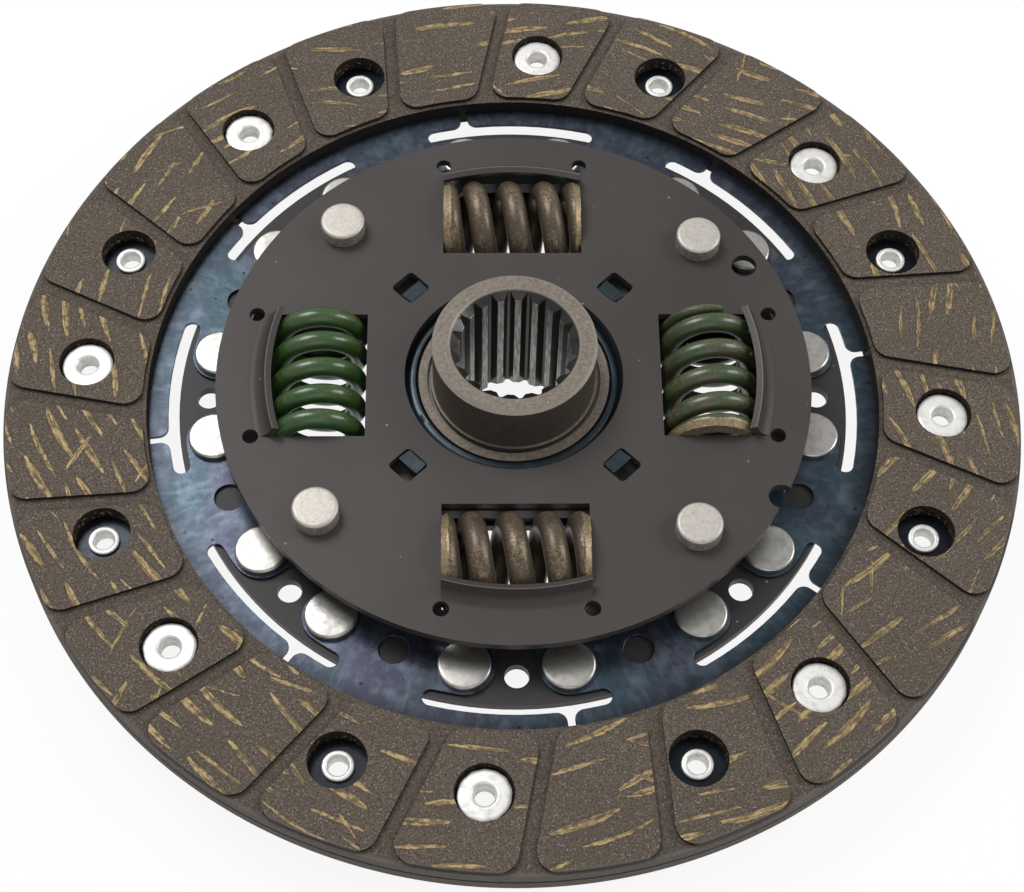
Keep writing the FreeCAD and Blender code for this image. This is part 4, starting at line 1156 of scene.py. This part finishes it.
SILVER_RIVET = RivetFinish("silver_rivet", (0.78, 0.765, 0.74), 0.42, 0.55, scuff=(0.6, 0.585, 0.555))
NICKEL_RIVET = RivetFinish(
    "nickel_rivet", (0.47, 0.455, 0.425), 0.30, 0.95, scuff=(0.33, 0.32, 0.30), wave=0.035
)


def dress(piece: bpy.types.Object, finish: Finish) -> None:
    """Give a piece one finish all over.

    Args:
        piece: The piece.
        finish: Its finish.
    """
    if not piece.material_slots:
        piece.data.materials.append(None)
    for slot in piece.material_slots:
        slot.material = finish.material()


def stand_for(piece: bpy.types.Object, finish: Finish, body: str, node: str) -> None:
    """Finish a piece, hang it on the body it rides on, and hide the CAD node it stands for.

    Args:
        piece: The piece.
        finish: Its finish.
        body: The CAD body that carries it.
        node: The CAD node it replaces.
    """
    dress(piece, finish)
    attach(piece, body)
    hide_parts(node)
    LOG.info("%s: %d points", piece.name, len(piece.data.vertices))


# Sub-assemblies


@dataclass
class Carving:
    """One moulded facing: a turned ring cut into pads, with wells for rivets. In millimetres."""

    outer: float = 100.0
    inner: float = 72.3
    pad_outer: float = 99.5
    pad_inner: float = 73.0
    root: float = 13.65
    floor: float = 16.25
    top: float = 17.15
    seat: float = 15.15
    grooves: int = 24
    first: float = 4.1
    offset: float = 19.6
    width: float = 2.9
    corner: float = 3.5
    well: float = 5.5
    shank: float = 2.6
    turn_axis: float = 9.2
    mirror_height: float = 26.6
    margin: float = 1.0
    flare: float = 1.5
    easing: float = 0.16
    steps: int = 288
    well_steps: int = 64
    arc_steps: int = 9

    def ring(self) -> Grid:
        """Turn the whole ring, before any cut.

        Returns:
            The ring's points.
        """
        corners = [
            (self.inner, self.root),
            (self.inner, self.floor),
            (self.pad_inner, self.floor),
            (self.pad_inner, self.top),
            (self.pad_outer, self.top),
            (self.pad_outer, self.floor),
            (self.outer, self.floor),
            (self.outer, self.root),
        ]
        return turned_grid(np.array(corners), self.steps)

    def corner_arc(self, side: float, outside: bool) -> np.ndarray:
        """Round the corner of a pad where a groove's wall meets a rim.

        The arc's centre lies one corner radius from the wall and from the rim's circle.

        Args:
            side: +1 for the wall on the left of the groove, looking outwards, -1 for the other.
            outside: Whether the rim is the outer one.

        Returns:
            Points from the wall to the rim's circle and a little beyond it.
        """
        rim = self.pad_outer if outside else self.pad_inner
        reach = rim - self.corner if outside else rim + self.corner
        level = self.offset + side * (self.width / 2 + self.corner)
        centre = np.array([math.sqrt(reach ** 2 - level ** 2), level])
        touch = centre * rim / reach
        start = math.atan2(-side, 0.0)
        end = math.atan2(touch[1] - centre[1], touch[0] - centre[0])
        sweep = (end - start + math.pi) % (2 * math.pi) - math.pi
        angle = start + sweep * np.linspace(0.0, 1.0, self.arc_steps)
        arc = centre + self.corner * np.column_stack([np.cos(angle), np.sin(angle)])
        beyond = self.outer + self.flare if outside else self.inner - self.flare
        return np.vstack([arc, touch * beyond / rim])

    def groove(self, degrees: float) -> Grid:
        """Make the body that a groove takes away, flared at both rims.

        Args:
            degrees: Direction of the groove's middle line.

        Returns:
            The body's points.
        """
        outline = np.vstack([
            self.corner_arc(-1.0, False)[::-1],
            self.corner_arc(-1.0, True),
            self.corner_arc(1.0, True)[::-1],
            self.corner_arc(1.0, False),
        ])
        along = np.array(polar(1.0, degrees))
        across = np.array([-along[1], along[0]])
        placed = outline[:, :1] * along + outline[:, 1:] * across
        return prism(placed, self.floor, self.top + self.margin)

    def bore(self, place: Place, seated: bool) -> Grid:
        """Make the body that a rivet's well takes away, stepped where a head sits in it.

        Args:
            place: Its x and y.
            seated: Whether a rivet's head sits in it.

        Returns:
            The body's points.
        """
        low, high = self.root - self.margin, self.top + self.margin
        levels = [(self.well, low), (self.well, high)]
        if seated:
            levels = [(self.shank, low), (self.shank, self.seat), (self.well, self.seat), (self.well, high)]
        return turned_grid(np.array(levels), self.well_steps) + np.array([*place, 0.0])

    def turned_over(self, grid: Grid) -> Grid:
        """Turn points over, about the axis in the disc's plane that maps one facing to the other.

        Args:
            grid: Points of a shape at the front facing.

        Returns:
            The same shape at the rear facing.
        """
        along = np.array(polar(1.0, self.turn_axis))
        flat = grid[..., :2]
        flipped = 2.0 * (flat @ along)[..., None] * along - flat
        return np.concatenate([flipped, self.mirror_height - grid[..., 2:]], axis=-1)

    def build(self, name: str, side: Side, seated: list[Place], clear: list[Place]) -> bpy.types.Object:
        """Carve one facing.

        Args:
            name: Name of the piece.
            side: The side of the disc that it faces.
            seated: Places of the wells that hold rivet heads, on the front facing.
            clear: Places of the wells that are open right through, on the front facing.

        Returns:
            The facing.
        """
        grooves = [self.groove(angle) for angle in ring_angles(self.first, self.grooves)]
        bores = [self.bore(place, True) for place in seated] + [self.bore(place, False) for place in clear]
        sets = {"ring": [self.ring()], "grooves": grooves, "bores": bores}
        if side is Side.REAR:
            sets = {key: [self.turned_over(grid) for grid in grids] for key, grids in sets.items()}
        ring = joined(name, sets["ring"], True)
        piece = carved(name, ring, *(joined(name + key, sets[key], False) for key in ("grooves", "bores")))
        ease(piece, self.easing)
        return piece


@dataclass
class Facings:
    """Both friction facings and their tubular rivets. Sizes are in millimetres."""

    rivet_circle: float = 84.8
    front_angle: float = -4.1
    rear_angle: float = 22.5
    count: int = 8
    seat: float = 1.85
    bore: float = 1.9
    shank: float = 2.5
    head: float = 5.0
    head_thickness: float = 0.75
    roll: float = 3.0
    roll_thickness: float = 0.8
    sheet: float = 0.35
    middle: float = 13.3

    def build(self) -> None:
        """Carve and dress the facings, and make the rivets of both sides."""
        front = [polar(self.rivet_circle, angle) for angle in ring_angles(self.front_angle, self.count)]
        rear = [polar(self.rivet_circle, angle) for angle in ring_angles(self.rear_angle, self.count)]
        for node, side, finish in (
            ("front_facing", Side.FRONT, FRONT_FRICTION),
            ("rear_facing", Side.REAR, REAR_FRICTION),
        ):
            piece = Carving().build(node + "_carved", side, front, rear)
            stand_for(piece, finish, "driven_plate", node)
        for side, node, places in (
            (Side.FRONT, "front_facing_rivets", front),
            (Side.REAR, "rear_facing_rivets", rear),
        ):
            grids = [self.rivet(side, place, number) for number, place in enumerate(places)]
            piece = joined(node + "_fine", grids, True)
            stand_for(piece, SILVER_RIVET, "driven_plate", node)

    def rivet(self, side: Side, place: Place, number: int) -> Grid:
        """Turn one tubular rivet, with its own ragged rim.

        Args:
            side: The side that the head is on.
            place: Its x and y.
            number: Its place in the ring, which seeds its raggedness.

        Returns:
            The rivet's points.
        """
        top = self.seat + self.head_thickness
        tail = -self.sheet - self.roll_thickness
        profile = soft_profile([
            (self.bore, tail + 0.3, 0.0),
            (self.bore, top - 0.55, 0.3),
            (self.bore + 0.5, top - 0.05, 0.3),
            (self.bore + 1.1, top - 0.1, 0.2),
            (self.head - 0.5, top - 0.14, 0.2),
            (self.head, top - 0.3, 0.15),
            (self.head - 0.02, self.seat, 0.1),
            (self.shank, self.seat, 0.1),
            (self.shank, -self.sheet, 0.1),
            (self.roll, -self.sheet, 0.15),
            (self.roll, tail + 0.1, 0.3),
            (self.bore + 0.35, tail, 0.2),
        ], True)
        seed = number + (20 if side is Side.REAR else 1)
        grid = turned_grid(profile, 96, ragged(seed, depth=0.05, waves=9, start=3.2))
        grid[..., 2] *= side.value
        return grid + np.array([*place, self.middle])


@dataclass
class CushionPlate:
    """The blued plate and the flat rivets that hold it. Sizes are in millimetres."""

    circle: float = 59.5
    spread: float = 9.35
    pairs: int = 8
    middle: float = 13.3
    sheet: float = 0.35
    head: float = 5.05
    head_thickness: float = 1.4
    shank: float = 2.5
    drive_rear: float = -2.35
    tail: float = 4.5
    tail_thickness: float = 1.3

    def build(self) -> None:
        """Dress the plate and make its rivets."""
        piece = eased_copy("cushion_plate", 0.08)
        stand_for(piece, BLUED_PLATE, "driven_plate", "cushion_plate")
        middles = ring_angles(0.0, self.pairs)
        grids = [self.rivet(middle + sign * self.spread) for middle in middles for sign in (-1.0, 1.0)]
        piece = joined("cushion_rivets_fine", grids, False)
        stand_for(piece, NICKEL_RIVET, "driven_plate", "cushion_rivets")

    def rivet(self, degrees: float) -> Grid:
        """Turn one flat-headed rivet with a slight dome.

        Args:
            degrees: Its angle on the circle.

        Returns:
            The rivet's points.
        """
        top = self.sheet + self.head_thickness
        low = self.drive_rear - self.tail_thickness
        profile = soft_profile([
            (0.02, low, 0.0),
            (self.tail * 0.7, low + 0.05, 0.3),
            (self.tail, self.drive_rear - 0.6, 0.3),
            (self.tail, self.drive_rear, 0.1),
            (self.shank, self.drive_rear, 0.1),
            (self.shank, self.sheet, 0.1),
            (self.head - 0.05, self.sheet, 0.1),
            (self.head, top - 0.32, 0.15),
            (self.head - 0.35, top - 0.04, 0.2),
            (self.head * 0.5, top - 0.01, 0.8),
            (0.02, top, 0.0),
        ], False)
        return turned_grid(profile, 72) + np.array([*polar(self.circle, degrees), self.middle])


@dataclass
class SidePlates:
    """The cover, the drive plate and the washers and rings between them."""

    def build(self) -> None:
        """Dress each plate."""
        for node, finish, slot, width in (
            ("cover_plate", COVER_COAT, "phosphated_plate", 0.2),
            ("drive_plate", DRIVE_COAT_AND_SHADE, "phosphated_plate", 0.2),
            ("key_washer", BLUED_WASHER, "blued_washer", 0.1),
        ):
            piece = eased_copy(node, width)
            stand_for(piece, finish, "driven_plate", node)
        for node, finish in (
            ("friction_spring", BLUED_WASHER),
            ("front_friction_ring", PLAIN_RING),
            ("rear_friction_ring", PLAIN_RING),
            ("hub_bush", PLAIN_RING),
        ):
            dress(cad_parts[node], finish)


@dataclass
class StopPins:
    """The four shouldered pins. Sizes are in millimetres."""

    circle: float = 48.8
    angles: tuple[float, ...] = (39.65, 134.7, 219.65, 314.7)
    middle: float = 13.3
    cover_front: float = 8.6
    cover_rear: float = 6.8
    drive_front: float = -0.35
    drive_rear: float = -2.35
    head: float = 4.45
    head_height: float = 3.3
    body: float = 3.5
    shank: float = 3.0
    tail: float = 4.3
    tail_height: float = 2.0

    def build(self) -> None:
        """Turn each pin."""
        for letter, degrees in zip("abcd", self.angles):
            x, y = polar(self.circle, degrees)
            grid = self.pin() + np.array([x, y, self.middle])
            piece = joined("stop_pin_%s_fine" % letter, [grid], False)
            steel = TurnedFinish("pin_steel_" + letter, (0.47, 0.44, 0.40), 0.5, 0.6, centre=(x, y))
            stand_for(piece, steel, "driven_plate", "stop_pin_" + letter)

    def pin(self) -> Grid:
        """Turn one pin about the Z axis.

        Returns:
            The pin's points.
        """
        top = self.cover_front + self.head_height
        low = self.drive_rear - self.tail_height
        profile = soft_profile([
            (0.02, low, 0.0),
            (self.tail * 0.7, low, 0.4),
            (self.tail, low + self.tail_height * 0.5, 0.4),
            (self.tail, self.drive_rear, 0.1),
            (self.shank, self.drive_rear, 0.1),
            (self.shank, self.drive_front, 0.1),
            (self.body, self.drive_front, 0.1),
            (self.body, self.cover_rear, 0.1),
            (self.shank, self.cover_rear, 0.1),
            (self.shank, self.cover_front, 0.1),
            (self.head, self.cover_front, 0.15),
            (self.head, top - 0.35, 0.25),
            (self.head - 0.45, top, 0.25),
            (self.head * 0.5, top, 0.3),
            (0.02, top, 0.0),
        ], False)
        return turned_grid(profile, 96)


@dataclass
class Hub:
    """The splined hub and its flange."""

    def build(self) -> None:
        """Dress the hub and the flange."""
        piece = eased_copy("hub", 0.12)
        stand_for(piece, HUB_COAT, "hub", "hub")
        dress(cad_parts["hub_flange"], FLANGE_COAT)


@dataclass
class DamperSpring:
    """One damper spring with closed and ground ends. Sizes are in millimetres."""

    name: str
    direction: float
    front_coil: float
    wire: float
    pitch: float
    finish: SpringFinish
    slot: str
    close_low: float = -10.6
    close_high: float = 10.6
    outer: float = 9.8
    half_length: float = 13.95
    circle: float = 38.7
    height: float = 16.525
    bevel_length: float = 1.55
    bevel_depth: float = 0.8
    ground_depth: float = 0.05
    dull_end: float = 0.0
    dull_share: float = 0.3
    reach: float = 3.6
    last_turn: float = 1.02
    blend: float = 0.1
    steps: int = 110
    around: int = 40
    keep: float = 0.79

    def centreline(self) -> tuple[np.ndarray, np.ndarray]:
        """Give the angle and the height of the wire's centre along the coil.

        The wire climbs by the pitch in a turn, apart from its last turn at each end, where it
        climbs by its own thickness, so that it lies on its neighbour. The change between the two
        is smooth, over a fifth of a turn.

        Returns:
            The angle in radians and the height in millimetres, for each point along the wire.
        """
        turns = np.linspace(-self.reach, self.reach, int(2 * self.reach * self.steps))
        slack = self.pitch - 2 * self.wire
        up = (self.close_high - self.front_coil) / self.pitch
        down = (self.close_low - self.front_coil) / self.pitch

        def bend(t: np.ndarray) -> np.ndarray:
            """Give a smooth ramp: nothing before zero, then t."""
            return self.blend * np.logaddexp(0.0, t / self.blend * 2) / 2

        rise = turns * self.pitch + self.front_coil
        rise = rise - slack * bend(turns - up) + slack * bend(down - turns)
        wound = (turns < up + self.last_turn) & (turns > down - self.last_turn)
        return turns[wound] * 2 * np.pi, rise[wound]

    def build(self) -> None:
        """Wind the spring, grind its ends and lay it in its window.

        The surface point for a coil angle a and a section angle s is the wire's centre plus the
        wire's radius times cos s along the coil's radius and sin s across it. What stands beyond
        the end planes is pressed back onto them, and what stands beyond the bevel's cone is drawn
        in to it.
        """
        angle, rise = self.centreline()
        mean = self.outer - self.wire
        section = np.linspace(0.0, 2 * np.pi, self.around, endpoint=False)[None, :]
        slope = np.gradient(rise, angle)
        tangent = np.stack([-mean * np.sin(angle), mean * np.cos(angle), slope], axis=-1)
        tangent /= np.linalg.norm(tangent, axis=-1, keepdims=True)
        outwards = np.stack([np.cos(angle), np.sin(angle), np.zeros_like(angle)], axis=-1)
        across = np.cross(tangent, outwards)
        centre = np.stack([mean * np.cos(angle), mean * np.sin(angle), rise], axis=-1)
        out = self.wire * np.cos(section)[..., None] * outwards[:, None, :]
        side = self.wire * np.sin(section)[..., None] * across[:, None, :]
        points = centre[:, None, :] + out + side
        pressed = np.clip(points[..., 2], -self.half_length, self.half_length)
        removed = np.abs(points[..., 2] - pressed)
        points[..., 2] = pressed
        radius = np.hypot(points[..., 0], points[..., 1])
        into = np.clip((np.abs(pressed) - self.half_length + self.bevel_length) / self.bevel_length, 0.0, 1.0)
        limit = self.outer - self.bevel_depth * into
        drawn = np.minimum(radius, limit)
        removed = np.maximum(removed, radius - drawn)
        points[..., :2] *= (drawn / radius)[..., None]
        crest = np.broadcast_to(np.cos(section), radius.shape)
        piece = joined(self.name + "_wound", [self.laid(points)], False)
        point_values(piece, "crest", np.array(crest))
        bright = np.where(pressed * self.dull_end > 0.0, self.dull_share, 1.0)
        point_values(piece, "ground", np.clip(removed / self.ground_depth, 0.0, 1.0) * bright)
        stand_for(piece, self.finish, "damper_springs", self.name)
        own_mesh(piece)

    def laid(self, points: Grid) -> Grid:
        """Lay the coil down: its axis goes along the window and its angle 270 to the front.

        Args:
            points: The coil, wound about the Z axis.

        Returns:
            The coil in its window.
        """
        x, y, z = points[..., 0], points[..., 1], points[..., 2]
        turn = math.radians(self.direction)
        cosine, sine = math.cos(turn), math.sin(turn)
        laid = np.stack([x * cosine - z * sine, x * sine + z * cosine, -y], axis=-1)
        return laid + np.array([*polar(self.circle, self.direction), self.height])


# Studio


@dataclass
class Studio:
    """Floor, light and camera. Lengths are in metres."""

    floor_size: float = 6.0
    floor_height: float = -0.02
    floor_white: float = 0.9
    sky: float = 0.5
    lens: float = 75.43
    distance: float = 0.427217
    elevation: float = 58.601
    azimuth: float = -91.93
    aim_pitch: float = 1.312
    aim_roll: float = 1.548
    target: tuple[float, float, float] = (0.0, 0.0, 0.0133)
    lamps: list[tuple[str, tuple[float, float, float], float, float]] = field(default_factory=lambda: [
        ("key_light", (-0.45, 0.45, 0.95), 0.55, 8.0),
        ("side_light", (0.75, 0.15, 0.6), 0.4, 3.5),
        ("front_light", (0.1, -0.9, 0.7), 0.7, 1.2),
    ])

    def build(self) -> None:
        """Build all of it."""
        self.floor()
        self.world()
        for name, place, size, power in self.lamps:
            self.lamp(name, place, size, power)
        self.camera()
        bpy.context.scene.view_settings.view_transform = "Standard"

    def floor(self) -> None:
        """Lay a pale floor that is white to the camera and keeps a soft shadow."""
        half = self.floor_size / 2 / MM
        corners = [(-half, -half), (half, -half), (half, half), (-half, half)]
        points = np.array([(x, y, self.floor_height) for x, y in corners])
        piece = mesh_object("floor", points, [(0, 1, 2, 3)])
        made = bpy.data.materials.new("floor_white")
        made.use_nodes = True
        graph = Graph(made.node_tree)
        matt = graph.add("ShaderNodeBsdfDiffuse", {"Color": (0.86, 0.86, 0.86)})
        white = graph.add("ShaderNodeEmission", {"Color": WHITE, "Strength": 1.0})
        path = graph.add("ShaderNodeLightPath")
        seen = graph.math("MAXIMUM", graph.result(path, "Is Camera Ray"), graph.result(path, "Is Glossy Ray"))
        self.shown(graph, "ShaderNodeOutputMaterial", seen * self.floor_white, matt, white)
        piece.data.materials.append(made)

    def world(self) -> None:
        """Set an even pale sky, white to the camera."""
        world = bpy.data.worlds.new("studio")
        bpy.context.scene.world = world
        world.use_nodes = True
        graph = Graph(world.node_tree)
        soft = graph.add("ShaderNodeBackground", {"Color": WHITE, "Strength": self.sky})
        white = graph.add("ShaderNodeBackground", {"Color": WHITE, "Strength": 1.0})
        seen = graph.result(graph.add("ShaderNodeLightPath"), "Is Camera Ray")
        self.shown(graph, "ShaderNodeOutputWorld", seen, soft, white)

    @staticmethod
    def shown(graph: Graph, output: str, share: Value, first: bpy.types.Node, second: bpy.types.Node) -> None:
        """Mix two shaders by a share and put them out."""
        inputs = {0: share, 1: graph.result(first), 2: graph.result(second)}
        graph.add(output, {0: graph.result(graph.add("ShaderNodeMixShader", inputs))})

    def lamp(self, name: str, place: tuple[float, float, float], size: float, power: float) -> None:
        """Hang one square soft light, aimed at the disc.

        Args:
            name: Name of the light.
            place: Where it hangs.
            size: Length of its side.
            power: Its power in watts.
        """
        light = bpy.data.lights.new(name, "AREA")
        light.shape = "SQUARE"
        light.size = size
        light.energy = power
        lamp = linked(name, light)
        lamp.location = place
        lamp.rotation_euler = (Vector(place) - Vector(self.target)).to_track_quat("Z", "Y").to_euler()

    def camera(self) -> None:
        """Set the camera up as it stood for the photograph.

        It looks at the target along a direction given by azimuth and elevation, and is then
        pitched and rolled a little about its own axes.
        """
        data = bpy.data.cameras.new("camera")
        data.lens = self.lens
        data.sensor_width = 36.0
        data.clip_start = 0.01
        camera = linked("camera", data)
        el, az = math.radians(self.elevation), math.radians(self.azimuth)
        back = Vector((math.cos(el) * math.cos(az), math.cos(el) * math.sin(az), math.sin(el)))
        right = Vector((-math.sin(az), math.cos(az), 0.0))
        up = back.cross(right)
        place = Vector(self.target) + back * self.distance
        back, up = self.swung(back, up, math.radians(self.aim_pitch))
        right, up = self.swung(right, up, math.radians(self.aim_roll))
        turn = Matrix((right, up, back)).transposed().to_4x4()
        camera.matrix_world = Matrix.Translation(place) @ turn
        bpy.context.scene.camera = camera

    @staticmethod
    def swung(first: Vector, second: Vector, angle: float) -> tuple[Vector, Vector]:
        """Turn two square directions in their common plane, the first towards the second."""
        cosine, sine = math.cos(angle), math.sin(angle)
        return cosine * first + sine * second, cosine * second - sine * first


def springs() -> list[DamperSpring]:
    """List the four damper springs, each with the place of its own coils.

    Returns:
        The springs, ready to build.
    """
    thick = {"wire": 2.4, "pitch": 7.2, "finish": BRONZE_SPRING, "slot": "bronze_spring"}
    thin = {"wire": 1.95, "pitch": 6.07, "slot": "green_spring"}
    return [
        DamperSpring("spring_north", 90.0, -5.8, **thick),
        DamperSpring("spring_south", 270.0, -5.4, **thick),
        DamperSpring("spring_east", 0.0, -0.25, finish=DULL_GREEN_SPRING, dull_end=1.0, **thin),
        DamperSpring("spring_west", 180.0, -4.65, finish=GREEN_SPRING, dull_end=-1.0, **thin),
    ]


def main() -> None:
    """Build every sub-assembly and the studio."""
    logging.basicConfig(level=logging.INFO, format="%(name)s %(message)s")
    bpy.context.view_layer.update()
    Facings().build()
    CushionPlate().build()
    SidePlates().build()
    StopPins().build()
    Hub().build()
    for spring in springs():
        spring.build()
    Studio().build()


if __name__ == "__main__":
    main()
